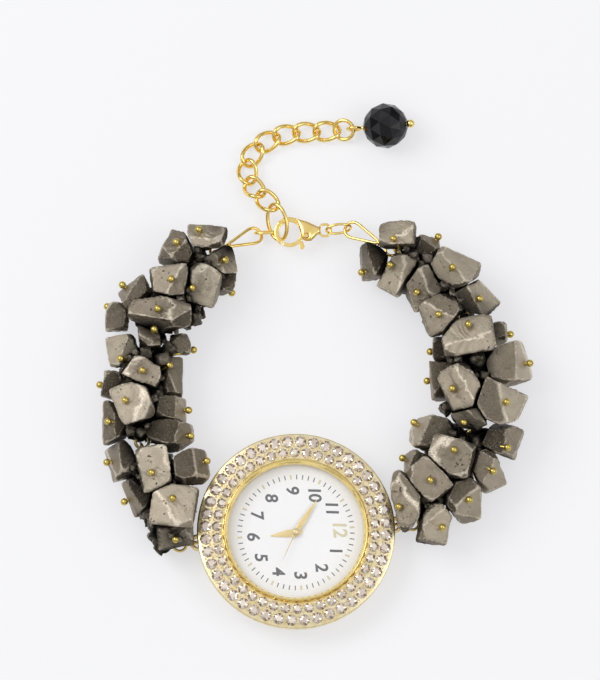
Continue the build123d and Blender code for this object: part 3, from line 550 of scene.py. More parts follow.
cut_glass = Finish(
    "champagne_stone", Roughness=0.04, Metallic=0.55, IOR=1.6, Coat_Weight=1.0,
    Coat_Roughness=0.02,
)
glints = cut_glass.grain(size=0.55, detail=2, roughness=0.7)
# Each facet's colour is a painted reflection, from the foil's painted shadow to lit champagne.
cut_glass.wear(
    Base_Color=cut_glass.mix(
        cut_glass.stored("glint"), foil_shadow, cut_glass.mix(glints, champagne, champagne_light)
    ),
    Normal=cut_glass.relief(glints, 0.004),
)
for row_name, radius, count, stone_radius in stone_rows:
    stones = []
    grains = []
    for number in range(count):
        angle = 2 * pi * number / count
        stones.append(set_at(
            brilliant(stone_radius), seat_place(radius, angle, number * stone_turn)
        ))
        for offset in (-grain_offset, grain_offset):
            place = seat_place(radius + offset * stone_radius, angle + pi / count)
            lifted = place @ Vector((0, 0, grain_lift))
            grains.append(ball(lifted, grain_radius, rings=6, segments=8))
    made = piece(
        f"stones_{row_name}_row", joined(*stones), "watch_head", cut_glass,
        [f"bezel_stones_{row_name}"], flat=True,
    )
    sparks = []
    # A painted glint for each facet, the level table facet always among the brighter.
    for face in made.data.polygons:
        order = face.index * 7 + face.index // facets_per_stone
        spark = glint_order[order % len(glint_order)]
        sparks.append(0.55 + 0.45 * spark if face.normal.z > level_facet else spark)
    kept_on(made, "glint", "FACE", sparks)
    piece(
        f"setting_grains_{row_name}", joined(*grains), "watch_head", bezel_plating
    )

# The crystal is a clear mineral glass disc with a small polished chamfer, pressed into the
# bezel over the dial.
crystal_radius = 13.65
crystal_low = 6.0
crystal_high = 6.9
crystal_chamfer = 0.25

crystal_profile = [
    (axis_radius, crystal_low), (crystal_radius, crystal_low),
    (crystal_radius, crystal_high - crystal_chamfer),
    (crystal_radius - crystal_chamfer, crystal_high), (axis_radius, crystal_high),
]
crystal_glass = Finish("clear_crystal", Base_Color=(1, 1, 1, 1), Metallic=0.0, IOR=1.5)
smears = crystal_glass.grain(size=6, detail=4)
crystal_glass.wear(
    Roughness=0.02 + 0.03 * smears,
    Alpha=0.05 + 0.02 * smears,
    Normal=crystal_glass.relief(smears, 0.002),
)
sharpened(piece(
    "crystal_disc", turned(crystal_profile), "watch_head", crystal_glass,
    ["crystal"],
))

# The dial is a stamped disc sprayed matt white. Its minute track and numerals are pad
# printed in grey ink, the marks at the hours and the 12 in pale gilt.
dial_radius = 16.3
dial_low = 4.3
dial_top = 4.7
arbor_hole = 0.45
ink_height = 0.012
track_outer = 11.85
track_length = 0.95
track_width = 0.2
hour_mark_width = 0.42
numeral_circle = 8.75
numeral_size = 3.5
gilt_numeral_size = 3.9
numeral_lean = 0.12
numeral_weight = 0.085
numeral_spacing = 0.88

dial_paint = Finish("dial_paint", Metallic=0.0)
orange_peel = dial_paint.grain(size=0.5, detail=3)
cloudy = dial_paint.grain(size=8, detail=2)
dial_paint.wear(
    Base_Color=dial_paint.mix(cloudy, (0.90, 0.905, 0.92), (0.95, 0.95, 0.955)),
    Roughness=0.45 + 0.1 * orange_peel,
    Normal=dial_paint.relief(orange_peel, 0.004),
)
dial_profile = [
    (arbor_hole, dial_low), (dial_radius, dial_low), (dial_radius, dial_top), (arbor_hole, dial_top)
]
sharpened(piece(
    "dial_disc", turned(dial_profile), "watch_head", dial_paint, ["dial"]
))


def printed_mark(angle, width):
    """A mark of the minute track, which points at the centre of the dial."""
    turn = Matrix.Rotation(angle, 4, "Z")
    inner = track_outer - track_length
    corners = [
        (inner, -width / 2), (track_outer, -width / 2), (track_outer, width / 2), (inner, width / 2)
    ]
    heights = (dial_top, dial_top + ink_height)
    points = [turn @ Vector((x, y, height)) for height in heights for x, y in corners]
    return points, [(3, 2, 1, 0), (4, 5, 6, 7)] + skin(2, 4, flipped=True)


inked = {"size": 0.4, "detail": 3, "roughness": 0.35, "spread": 0.15, "depth": 0.003}
grey_ink = grained("grey_ink", (0.035, 0.037, 0.045), (0.065, 0.067, 0.075), **inked)
gilt_ink = grained("gilt_ink", (0.62, 0.56, 0.34), (0.70, 0.64, 0.42), **inked)
minute_marks = []
hour_marks = []
for minute in range(60):
    marks, width = (minute_marks, track_width) if minute % 5 else (hour_marks, hour_mark_width)
    marks.append(printed_mark(2 * pi * minute / 60, width))
piece("minute_marks", joined(*minute_marks), "watch_head", grey_ink, flat=True)
piece("hour_marks", joined(*hour_marks), "watch_head", gilt_ink, flat=True)


def numeral(hour, size, finish):
    """One printed numeral, its top toward 12 o'clock, which lies along +X."""
    angle = -radians(30) * hour
    curve = bpy.data.curves.new(f"numeral_{hour}", "FONT")
    curve.body = str(hour)
    curve.size = size * mm
    curve.shear = numeral_lean
    curve.offset = numeral_weight * mm
    curve.extrude = ink_height * mm / 2
    curve.align_x = "CENTER"
    curve.align_y = "CENTER"
    curve.space_character = numeral_spacing
    drawn = placed(f"numeral_{hour}_outline", curve)
    mesh = settled(drawn)
    bpy.data.objects.remove(drawn)
    place = Vector((
        numeral_circle * cos(angle), numeral_circle * sin(angle), dial_top + ink_height / 2
    )) * mm
    mesh.transform(Matrix.Translation(place) @ Matrix.Rotation(-pi / 2, 4, "Z"))
    mesh.materials.clear()
    mesh.materials.append(finish.material)
    declared(placed(f"numeral_{hour}", mesh), "watch_head")


for hour in range(1, 12):
    numeral(hour, numeral_size, grey_ink)
numeral(12, gilt_numeral_size, gilt_ink)

# The hands are pale gilt leaves stamped with a ridge down the middle, pressed on the
# arbor one above the other and closed by a small domed cap.
hands = (
    ("hour_hand", 5.2, 1.5, 4.85, 183.0, 1.35, 0.85),
    ("minute_hand", 7.9, 1.2, 5.2, 52.0, 1.45, 0.85),
    ("second_hand", 7.6, 0.16, 5.55, 240.0, 1.5, 0.6),
)
hand_flank = 0.084
hand_ridge = 0.08
hand_crisp_angle = 20
hub_bore = 0.46
hub_flank = 0.11
hub_top = 0.15
hub_chamfer = 0.06
hub_steps = 40
cap_radius = 0.62
cap_level = 5.72
cap_rise = 0.22
cap_steps = 32
hand_gilt = plating(
    "hand_gilt", (0.92, 0.73, 0.34), (0.80, 0.60, 0.22), roughness=0.3, patch_size=1.5
)


def leaf(length, width, level, heading, tail, hub):
    """A tapering leaf with a ridge and a round hub."""
    stations = [
        (-tail, 0.3), (-tail * 0.5, 0.55), (0, 0.75), (length * 0.3, 1.0), (length * 0.7, 0.55),
        (length, 0.06),
    ]
    top = level + hand_flank
    points = []
    for along, share in stations:
        half = width / 2 * share
        points += [
            (along, -half, level), (along, half, level), (along, half, top),
            (along, 0, top + hand_ridge * share), (along, -half, top),
        ]
    last = len(points) - 1
    faces = [(0, 1, 2, 3, 4), (last, last - 1, last - 2, last - 3, last - 4)]
    faces += skin(len(stations), 5)
    disc = turned(
        [(hub_bore, level), (hub, level), (hub, level + hub_flank),
         (hub - hub_chamfer, level + hub_top), (hub_bore, level + hub_top)],
        hub_steps,
    )
    return set_at(joined((points, faces), disc), Matrix.Rotation(radians(heading), 4, "Z"))


for name, length, width, level, heading, tail, hub in hands:
    form = leaf(length, width, level, heading, tail, hub)
    made = piece(f"{name}_leaf", form, name, hand_gilt, [name])
    sharpened(made, hand_crisp_angle)
cap_profile = [(axis_radius, cap_level)] + [
    (cap_radius * sin(angle), cap_level + cap_rise * cos(angle))
    for angle in (pi / 2, pi / 3, pi / 6, 0.01)
]
piece("hand_cap", turned(cap_profile, cap_steps), "second_hand", hand_gilt)

# Inside the case are the quartz movement, its plastic spacer, the coin cell and the
# setting lever with the stem: nickel-plated brass and moulded plastic.
stem_undersize = 0.02
stem_sides = 24
nickel = grained(
    "movement_nickel", (0.55, 0.54, 0.52), (0.70, 0.69, 0.66), size=0.8, detail=4,
    roughness=0.3, spread=0.15, depth=0.008, metallic=1.0, stretch=(1, 6, 1),
)
moulded = grained(
    "spacer_plastic", (0.74, 0.73, 0.70), (0.82, 0.81, 0.78), size=0.3, detail=2,
    roughness=0.55, spread=0.1, depth=0.01,
)
for node, finish in (
    ("movement", nickel), ("battery", nickel), ("setting_lever", nickel),
    ("movement_holder", moulded),
):
    materials = frame["nodes"][node].data.materials
    materials.clear()
    materials.append(finish.material)


def node_points(node):
    """The corners of a CAD node in millimetres."""
    return [corner.co / mm for corner in frame["nodes"][node].data.vertices]


stem_corners = node_points("setting_stem")
stem_radius = max(corner.x for corner in stem_corners) - stem_undersize
inner_end = Vector((0, min(corner.y for corner in stem_corners), crown_level))
outer_end = Vector((0, max(corner.y for corner in stem_corners), crown_level))
round_end = Vector((0, stem_radius, 0))
piece(
    "setting_stem_rod",
    wire([inner_end + round_end, outer_end - round_end], stem_radius, sides=stem_sides),
    "crown", nickel, ["setting_stem"],
)

# The crown is a small fluted knob of the same pale plating, fixed on the end of the stem
# and sunk in the band's pocket.
crown_radius = 1.3
crown_length = 1.3
crown_start = 17.75
crown_flutes = 18
crown_flute_steps = 4
crown_flute_depth = 0.1
crown_crisp_angle = 40
crown_stations = (
    (0.0, 0.9), (0.1, 1.0), (crown_length - 0.25, 1.0), (crown_length - 0.07, 0.93),
    (crown_length, 0.78),
)

steps = crown_flutes * crown_flute_steps
points = []
for reach, share in crown_stations:
    for step in range(steps):
        angle = 2 * pi * step / steps
        depth = crown_flute_depth * (0.5 - 0.5 * cos(crown_flutes * angle))
        ring = (crown_radius - depth) * share
        points.append((ring * cos(angle), -crown_start - reach, crown_level + ring * sin(angle)))
last = (len(crown_stations) - 1) * steps
faces = [tuple(reversed(range(steps))), tuple(last + step for step in range(steps))]
faces += skin(len(crown_stations), steps, flipped=True)
sharpened(piece(
    "crown_knob", (points, faces), "crown", band_plating, ["crown"]
), crown_crisp_angle)

# Bright drawn brass wire runs through each strand: a loose ring at the lug, then three
# bars hooked eye to eye. The eyes are bent round and closed against the bar.
core_wire = 0.62
link_play = 0.28
wire_turns_sides = 12
eye_radius = 1.35
eye_steps = 28
eye_setback = eye_radius - (core_wire + link_play) / 2
lug_ring_radius = 1.5
lug_ring_wire = 0.56
lug_ring_near = lug_loop_centre + lug_loop_radius - (lug_wire + core_wire) / 2 - link_play
lug_ring_centre = lug_ring_near + lug_ring_radius
strand_sides = (("left", -1), ("right", 1))
strand_pivots = {
    name: [pivot[f"strand_swing_{name}"], pivot[f"strand_bend_{name}_1"],
           pivot[f"strand_bend_{name}_2"], pivot[f"end_bend_{name}"]]
    for name, _ in strand_sides
}
brass = plating(
    "drawn_brass", (0.78, 0.60, 0.26), (0.60, 0.44, 0.16), roughness=0.24, patch_size=1.0
)


def level_side(along):
    """The level direction to the left of a run."""
    return z_axis.cross(along).normalized()


def eye(centre, along, side, radius, thickness):
    """A round eye of wire."""
    path = ellipse(centre, along, side, radius, radius, eye_steps)
    return wire(path, thickness / 2, closed=True, sides=wire_turns_sides)


core_ends = {}
for name, outward in strand_sides:
    centre = Vector((outward * lug_ring_centre, 0, lug_level))
    piece(
        f"lug_ring_{name}_wire", eye(centre, x_axis, z_axis, lug_ring_radius, lug_ring_wire),
        f"lug_ring_{name}", brass, [f"lug_ring_{name}"],
    )
    points = strand_pivots[name]
    for part, (start, end) in enumerate(zip(points, points[1:]), 1):
        heading = (end - start).normalized() if part > 1 else Vector((outward, 0, 0))
        first = start + heading * eye_setback
        last = end - (end - first).normalized() * eye_setback
        along = (last - first).normalized()
        across = along.cross(level_side(along))
        core_ends[name, part] = (first, last)
        run = [first + along * eye_radius, last - along * eye_radius]
        form = joined(
            wire(run, core_wire / 2, sides=wire_turns_sides),
            eye(first, heading, heading.cross(across).normalized(), eye_radius, core_wire),
            eye(last, along, across.normalized(), eye_radius, core_wire),
        )
        node = f"core_{name}_{part}"
        piece(f"{node}_wire", form, f"strand_{name}_{part}", brass, [node])

# Each stone sits on its own ball pin: an eye closed round the core, a straight shank
# through the drilled stone, and a small ball on the outer end that keeps the stone on.
pin_wire = 0.6
pin_sides = 10
pin_eye = 0.78
pin_eye_reach = 1.35
pin_ball = 0.76
pin_end_corners = 8
pin_gilt = plating(
    "pin_gilt", (0.68, 0.54, 0.16), (0.50, 0.37, 0.09), roughness=0.24, patch_size=0.8
)


def loose_parts(node):
    """The separate solids of a CAD node, each as its points in millimetres."""
    shape = bmesh.new()
    shape.from_mesh(frame["nodes"][node].data)
    bmesh.ops.remove_doubles(shape, verts=shape.verts, dist=0.001 * mm)
    shape.verts.ensure_lookup_table()
    unseen = set(range(len(shape.verts)))
    parts = []
    while unseen:
        reach = [unseen.pop()]
        part = []
        while reach:
            corner = reach.pop()
            part.append(shape.verts[corner].co / mm)
            for edge in shape.verts[corner].link_edges:
                other = edge.other_vert(shape.verts[corner]).index
                if other in unseen:
                    unseen.discard(other)
                    reach.append(other)
        parts.append(part)
    shape.free()
    return parts


def away(place, start, along):
    """The way from a line to a place."""
    return place - start - along * (place - start).dot(along)


def pin_from(corners, start, end):
    """Eye, shank and ball of the pin whose CAD solid has these corners."""
    along = (end - start).normalized()
    eye_corners = [
        corner for corner in corners if away(corner, start, along).length < pin_eye_reach
    ]
    far = max(corners, key=lambda corner: away(corner, start, along).length)
    middle = sum(eye_corners, Vector()) / len(eye_corners)
    station = start + along * (middle - start).dot(along)
    heading = (far - station).normalized()
    ranked = sorted(corners, key=lambda corner: -(corner - station).dot(heading))
    tip = ranked[:pin_end_corners]
    heading = (sum(tip, Vector()) / len(tip) - station).normalized()
    ranked = sorted(corners, key=lambda corner: -(corner - station).dot(heading))
    seat = ranked[pin_end_corners // 2:pin_end_corners]
    end_ball = sum(seat, Vector()) / len(seat)
    across = away(end_ball, station, along).normalized()
    root = station + across * pin_eye
    return joined(
        eye(station, across, along.cross(across).normalized(), pin_eye, pin_wire),
        wire([root, end_ball], pin_wire / 2, sides=pin_sides),
        ball(end_ball, pin_ball, rings=12, segments=18),
    )


for (name, part), bar in core_ends.items():
    node = f"pins_{name}_{part}"
    pins = [pin_from(corners, *bar) for corners in loose_parts(node)]
    piece(f"{node}_set", joined(*pins), f"strand_{name}_{part}", pin_gilt, [node])

# The stones are broken pieces of a grey-brown metallic mineral, drilled and tumbled until
# their flats are satin and their edges round and worn, with pits left in the rough sides. Their
# colour carries painted light: a painted highlight on the rims, and painted shade on the rough
# sides and in the gaps deep in the strand. Small chips of it fill the room that the pinned
# stones leave along the bars, painted dark as shade.
rounding = 25.0
growth = 0.05
ripple = 0.125
ripple_pitches = (2.3, 4.1, 7.3, 12.1, 18.7)
ripple_crest = 0.3
surface_pitch = 0.55
surface_step = 7.3
nick_pitch = 4.1
nick_least = 0.12
nick_depth = 0.3
pit_pitch = 0.9
stone_divisions = 5
rough_depth = 0.2
dent_depth = 0.05
bright_reach = 6.7
dark_reach = 4.1
flat_area = 0.02
same_facing = 0.9995
same_distance = 0.02
tone_step = 2.399
chip_divisions = 3
chip_step = 1.1
chip_turns = 14
chip_reaches = (1.5, 2.4, 3.3, 4.2, 5.0)
chip_smallest = 0.75
chip_largest = 1.9
chip_overlap = 0.65
chip_floor_gap = 0.25
chip_joint_gap = 0.35
chip_head_gap = 0.5
chip_wire_gap = 0.2
chip_spacing_share = 0.72
chip_block_share = 0.72
chip_skew_share = 0.16
chip_corner_share = 1.35
chip_shade = 0.68
teardrop_room = 1.3
teardrop_steps = (0.0, 1.5, 3.0)
stone_dark = (0.078, 0.063, 0.042)
stone_mid = (0.27, 0.225, 0.163)
stone_olive = (0.245, 0.217, 0.145)
stone_light = (0.66, 0.57, 0.45)
# The rims' worn colour, raised into a painted highlight.
rim_wear_and_highlight = (0.95, 0.85, 0.69)
# Painted shade deep between the stones, near black towards the bars.
painted_gap_shade = (0.008, 0.007, 0.006)

mineral = Finish("tumbled_stone", Metallic=0.9)
clouds = mineral.grain(size=2.6, detail=5, roughness=0.6, distortion=0.4)
specks = mineral.grain(size=0.34, detail=6, roughness=0.7)
pits = mineral.node(
    "ShaderNodeTexVoronoi", {"feature": "F1"},
    {"Vector": mineral.place, "Scale": 1 / (pit_pitch * mm)},
)
pitting = (1 - mineral.band(pits, 0.0, 0.28)) * mineral.band(clouds, 0.5, 0.62)
edge = mineral.stored("edge")
rough_and_shaded_side = mineral.stored("rough_and_shaded")
tone = mineral.stored("tone")
shade = mineral.stored("deep")
# Dark to light by clouds, specks and tone, and darker on the rough sides as painted shade.
body_color = mineral.mix(
    mineral.band(clouds + 1.1 * specks + 1.2 * tone - 0.75 * rough_and_shaded_side, 0.5, 2.3),
    stone_dark, stone_light,
)
body_color = mineral.mix(0.35, body_color, mineral.mix(tone, stone_mid, stone_olive))
# Darker in the pits, and darker still on the rough sides as painted shade.
body_color = mineral.mix(pitting * 0.8 + 0.76 * rough_and_shaded_side, body_color, stone_dark)
# A painted highlight along the rounded rims, on top of their real wear.
gleam = mineral.band(edge + 1.1 * specks, 0.95, 1.45)
# Painted glints speckling the rough sides.
painted_glints = mineral.band(specks, 0.54, 0.68) * rough_and_shaded_side
body_color = mineral.mix(0.6 * gleam + 0.42 * painted_glints, body_color, rim_wear_and_highlight)
mineral.wear(
    # Painted shade: darker the deeper a point lies in the strand.
    Base_Color=mineral.mix(shade, body_color, painted_gap_shade),
    Roughness=0.3 + 0.2 * rough_and_shaded_side + 0.14 * specks - 0.1 * gleam,
    Normal=mineral.relief(
        specks * (0.6 + 1.4 * rough_and_shaded_side) + 0.5 * clouds - 1.2 * pitting, 0.28
    ),
)


def hull_planes(corners):
    """Flats of the block that a stone was broken to, as unit normals and distances."""
    shape = bmesh.new()
    for corner in corners:
        shape.verts.new(corner)
    bmesh.ops.convex_hull(shape, input=shape.verts)
    planes = []
    for face in shape.faces:
        face.normal_update()
        normal = face.normal
        distance = normal.dot(face.verts[0].co)
        known = any(
            normal.dot(other) > same_facing and abs(distance - gap) < same_distance
            for other, gap in planes
        )
        if face.calc_area() > flat_area and not known:
            planes.append((normal.copy(), distance))
    shape.free()
    return planes


def directions_all_round(divisions):
    """Directions spread over a ball, and the triangles between them."""
    sphere = bmesh.new()
    bmesh.ops.create_icosphere(sphere, subdivisions=divisions, radius=1)
    sphere.verts.ensure_lookup_table()
    directions = np.array([corner.co.normalized() for corner in sphere.verts])
    faces = [tuple(corner.index for corner in face.verts) for face in sphere.faces]
    sphere.free()
    return directions, faces


def tumbled(corners, number, start, end, sphere):
    """A stone's surface, and how far each point is on a rim, on a rough side and deep in the
    strand, for painted highlight and shade.

    The block's flats are blended where they meet. Sines of the stone's own number ripple
    the flats and say how rough each is, and noise dents them and nicks the edges.
    """
    directions, faces = sphere
    planes = hull_planes(corners)
    middle = sum(corners, Vector()) / len(corners)
    normals = np.array([normal for normal, _ in planes])
    gaps = np.array([distance - normal.dot(middle) + growth for normal, distance in planes])
    waves = np.zeros((len(directions), len(planes)))
    for order, pitch in enumerate(ripple_pitches):
        heading = np.array([
            [sin(number + 1.9 * k + order), sin(2.3 * number + k), cos(number - 2.7 * k)]
            for k in range(len(planes))
        ])
        wave = np.sin(pitch * directions @ heading.T + 1.3 * number + order)
        waves += wave / (1 + 0.6 * order)
    gaps = gaps + ripple * np.minimum(waves, ripple_crest)
    power = rounding + 8 * sin(number * 2.1)
    weights = (np.maximum(directions @ normals.T, 0) / gaps) ** power
    total = weights.sum(axis=1)
    radii = total ** (-1 / power)
    flatness = weights.max(axis=1) / total
    nearest = weights.argmax(axis=1)
    along = (end - start).normalized()
    outward = away(middle, start, along).normalized()
    # Sides facing away from the strand's outside are rough, and the finish also paints them darker
    # as shade.
    roughness = [
        max(0.0, 1 - max(0.0, Vector(normal).dot(outward)) ** 2 * 1.3)
        * (0.7 + 0.3 * sin(3.7 * number + 2.3 * k))
        for k, normal in enumerate(normals)
    ]
    points = []
    marks = []
    for direction, radius, flat, plane in zip(directions, radii, flatness, nearest):
        point = Vector(direction) * radius
        seed = point * surface_pitch + Vector((number * surface_step, 0, 0))
        dent = noise.fractal(seed, 0.9, 2.1, 4)
        break_up = noise.fractal(seed * 2.6, 0.8, 2.2, 4)
        rough_and_shaded = roughness[plane]
        rim_blend = min(1.0, 2 * (1 - float(flat)))
        nick = max(0.0, noise.noise(seed * nick_pitch) - nick_least) * nick_depth * rim_blend
        depth = (
            dent_depth * (0.6 + rough_and_shaded) * (1 + dent) + rough_depth * rough_and_shaded * (0.5 + break_up) + nick
        )
        place = middle + point - Vector(direction) * max(0.0, depth)
        # How far in from the strand's outside the point lies, which the finish paints as shade.
        deep = (bright_reach - away(place, start, along).length) / (bright_reach - dark_reach)
        points.append(place)
        marks.append((rim_blend, float(rough_and_shaded), min(1.0, max(0.0, deep)) ** 1.1))
    return (points, faces), marks


def hull_gap(place, blocks):
    """How far at least a place lies outside the nearest of some blocks."""
    return min(
        max(normal.dot(place) - distance for normal, distance in planes) for planes in blocks
    )


def chip_corners(place, radius, number):
    """Corners of a small blocky chip of stone about a place."""
    turn = Matrix.Rotation(number * 1.3, 3, "X") @ Matrix.Rotation(number * 2.1, 3, "Z")
    corners = []
    for corner in range(8):
        signs = [1 if corner >> axis & 1 else -1 for axis in range(3)]
        shares = [
            chip_block_share + chip_skew_share * sin(number * 3.1 + corner * 1.7 + axis)
            for axis in range(3)
        ]
        reach = Vector([sign * share * radius for sign, share in zip(signs, shares)])
        corners.append(place + turn @ reach)
    return corners


def chips_between(start, end, near_blocks, far_blocks, kept_clear):
    """Places and sizes of chips wherever the stones, the wires and the head leave room."""
    along = (end - start).normalized()
    side = level_side(along)
    up = along.cross(side)
    length = (end - start).length
    steps = int(length / chip_step)
    free = []
    for reach in chip_reaches:
        for step in range(1, steps):
            for turn in range(chip_turns):
                angle = 2 * pi * (turn + 0.5 * (step % 2)) / chip_turns
                place = start + along * (length * step / steps)
                place = place + (side * cos(angle) + up * sin(angle)) * reach
                near = hull_gap(place, near_blocks) + chip_overlap
                far = (hull_gap(place, far_blocks) - chip_joint_gap) / chip_corner_share
                clear = min((place - point).length - size for point, size in kept_clear)
                head = hypot(place.x, place.y) - bezel_radius - chip_head_gap
                floor = place.z - chip_floor_gap
                room = min(near, far, clear / chip_corner_share, head, floor, chip_largest)
                if room > chip_smallest:
                    free.append((room, place))
    found = []
    for room, place in sorted(free, key=lambda entry: -entry[0]):
        if all(
            (place - other).length > chip_spacing_share * (room + size) for other, size in found
        ):
            found.append((place, room))
    return found


kept_clear = []
for name, outward in strand_sides:
    ring_place = Vector((outward * lug_ring_centre, 0, lug_level))
    before, tail = core_ends[name, 3]
    tail_along = (tail - before).normalized()
    kept_clear.append((ring_place, lug_ring_radius + lug_ring_wire + chip_wire_gap))
    kept_clear += [(tail + tail_along * step, teardrop_room) for step in teardrop_steps]
blocks = {(name, part): loose_parts(f"stones_{name}_{part}") for name, part in core_ends}
block_planes = {key: [hull_planes(corners) for corners in found] for key, found in blocks.items()}
stone_sphere = directions_all_round(stone_divisions)
chip_sphere = directions_all_round(chip_divisions)
stone_number = 0
for (name, part), found in blocks.items():
    start, end = core_ends[name, part]
    near_blocks = block_planes[name, part]
    far_blocks = [
        planes for key, group in block_planes.items() if key != (name, part) for planes in group
    ]
    near_eyes = [
        (core_ends[name, beside][eye_end], eye_radius + core_wire + chip_wire_gap)
        for beside, eye_end in ((part - 1, 1), (part + 1, 0)) if (name, beside) in core_ends
    ]
    chips = chips_between(start, end, near_blocks, far_blocks, kept_clear + near_eyes)
    kept_clear += [(place, chip_corner_share * radius + chip_wire_gap) for place, radius in chips]
    formed = [(corners, stone_sphere, 0.0) for corners in found]
    # Chips are painted at least this far towards the painted shade of the gaps.
    formed += [
        (chip_corners(place, radius, number), chip_sphere, chip_shade)
        for number, (place, radius) in enumerate(chips)
    ]
    forms = []
    marks = []
    for corners, sphere, least_shade in formed:
        form, mark = tumbled(corners, stone_number, start, end, sphere)
        tint = 0.5 + 0.5 * sin(stone_number * tone_step)
        forms.append(form)
        marks += [(rim_blend, rough_and_shaded, max(least_shade, deep), tint) for rim_blend, rough_and_shaded, deep in mark]
        stone_number += 1
    node = f"stones_{name}_{part}"
    made = piece(
        f"{node}_tumbled", joined(*forms), f"strand_{name}_{part}", mineral, [node]
    )
    for layer, values in zip(("edge", "rough_and_shaded", "deep", "tone"), zip(*marks)):
        kept_on(made, layer, "POINT", values)

# Each strand ends in a teardrop bent from one length of gold wire: an eye round the last
# bar, a wrapped neck and a long loop.
camera_elevation = 79.0
camera_roll = 5.3
pixel_width = 0.202
head_pixels = (296, 530)
neck_pixels = {"left": (229, 246), "right": (378, 243)}
neck_level = 5.168
tip_pixels = {"left": (260.3, 233.6), "right": (346.2, 227.3)}
tip_level = {"left": 1.7, "right": 3.2}
teardrop_wire = 0.66
teardrop_width = 3.2
teardrop_bend = 0.6
teardrop_bend_steps = 4
teardrop_shares = (
    (0.0, 0.10), (0.3, 0.26), (0.55, 0.40), (0.72, 0.5), (0.86, 0.5), (0.96, 0.36), (1.0, 0.12)
)
neck_wire = 0.6
neck_sides = 10
neck_tuck = 0.2
neck_overrun = 0.3
wrap_wire = 0.48
wrap_sides = 8
wrap_radius = 0.38
wrap_margin = 0.1
wrap_turns = 3
wrap_steps = 60
chain_gold = plating(
    "chain_gold", (0.98, 0.76, 0.30), (0.87, 0.60, 0.16), roughness=0.16, patch_size=1.6
)


def spot(across, down, height):
    """The place seen at a pixel of the picture, which is taken from above and rolled."""
    right = (across - head_pixels[0]) * pixel_width
    rise = (head_pixels[1] - down) * pixel_width
    elevation = radians(camera_elevation)
    back = (rise - (height - bezel_lip_top) * cos(elevation)) / sin(elevation)
    roll = radians(camera_roll)
    return Vector((
        right * cos(roll) + back * sin(roll), back * cos(roll) - right * sin(roll), height
    ))


for name, _ in strand_sides:
    start = strand_pivots[name][-1]
    neck = spot(*neck_pixels[name], neck_level)
    tip = spot(*tip_pixels[name], tip_level[name])
    along = (tip - neck).normalized()
    side = level_side(along)
    length = (tip - neck).length
    outline = [(share * length, width * teardrop_width) for share, width in teardrop_shares]
    outline += [(x, -y) for x, y in reversed(outline)]
    bent = softened(outline, teardrop_bend, teardrop_bend_steps)
    loop = [neck + along * x + side * y for x, y in bent]
    neck_along = (neck - start).normalized()
    neck_side = level_side(neck_along)
    neck_up = neck_along.cross(neck_side)
    eye_centre = start + neck_along * eye_setback
    neck_start = eye_centre + neck_along * eye_radius
    wrap_length = (neck - neck_start).length + neck_overrun - 2 * wrap_margin
    coils = []
    for step in range(wrap_steps + 1):
        angle = 2 * pi * wrap_turns * step / wrap_steps
        coils.append(
            neck_start + neck_along * (wrap_margin + wrap_length * step / wrap_steps)
            + neck_side * (wrap_radius * cos(angle)) + neck_up * (wrap_radius * sin(angle))
        )
    neck_run = [neck_start - neck_along * neck_tuck, neck + along * neck_tuck]
    form = joined(
        wire(loop, teardrop_wire / 2, closed=True, sides=wire_turns_sides),
        wire(neck_run, neck_wire / 2, sides=neck_sides),
        wire(coils, wrap_wire / 2, sides=wrap_sides),
        eye(eye_centre, neck_along, neck_side, eye_radius, core_wire),
    )
    node = f"teardrop_{name}"
    piece(f"{node}_wire", form, node, chain_gold, [node])

# Plain oval and round links of gold wire join the teardrops to the clasp and to the chain.
# They are bent round and closed, and lie as the solids of the part do.
oval_wire = 0.56
link_wire = 0.72
link_wire_gain = 0.1
link_steps = 44
solid_wire_share = 0.89
plain_links = (
    ("oval_link_left", "oval_left", oval_wire, 0.0),
    ("oval_link_right", "oval_right", oval_wire, 0.0),
    ("extender_link_1", "link_1", link_wire, link_wire_gain),
    ("extender_end_ring", "end_ring", link_wire, link_wire_gain),
)


def main_axes(corners):
    """The middle of some corners, and the long and the middle way of their cloud."""
    cloud = np.array(corners)
    middle = cloud.mean(axis=0)
    _, _, ways = np.linalg.svd(cloud - middle)
    return Vector(middle), Vector(ways[0]), Vector(ways[1])


for node, body, thickness, gain in plain_links:
    corners = node_points(node)
    centre, along, side = main_axes(corners)
    half_length, half_width = (
        max((corner - centre).dot(way) for corner in corners) - thickness * solid_wire_share / 2
        for way in (along, side)
    )
    path = ellipse(centre, along, side, half_length, half_width, link_steps)
    form = wire(path, (thickness + gain) / 2, closed=True)
    piece(f"{node}_wire", form, body, chain_gold, [node])

# The extender is a curb chain of gold wire: every link is an oval that is twisted until it
# lies face up, and it is closed through the link before it.
chain_wire = 0.88
link_half_length = 2.575
link_half_width = 1.8
link_twist = -0.75
chain_pivots = [pivot[f"link_turn_{number}"] for number in range(2, 10)] + [pivot["end_ring_turn"]]
for number, (start, end) in enumerate(zip(chain_pivots, chain_pivots[1:]), 2):
    along = (end - start).normalized()
    side = level_side(along)
    up = along.cross(side)
    level = ellipse((start + end) / 2, along, side, link_half_length, link_half_width, link_steps)
    path = [
        place + up * (link_twist * sin(4 * pi * step / link_steps))
        for step, place in enumerate(level)
    ]
    node = f"extender_link_{number}"
    form = wire(path, chain_wire / 2, closed=True)
    piece(f"{node}_wire", form, f"link_{number}", chain_gold, [node])

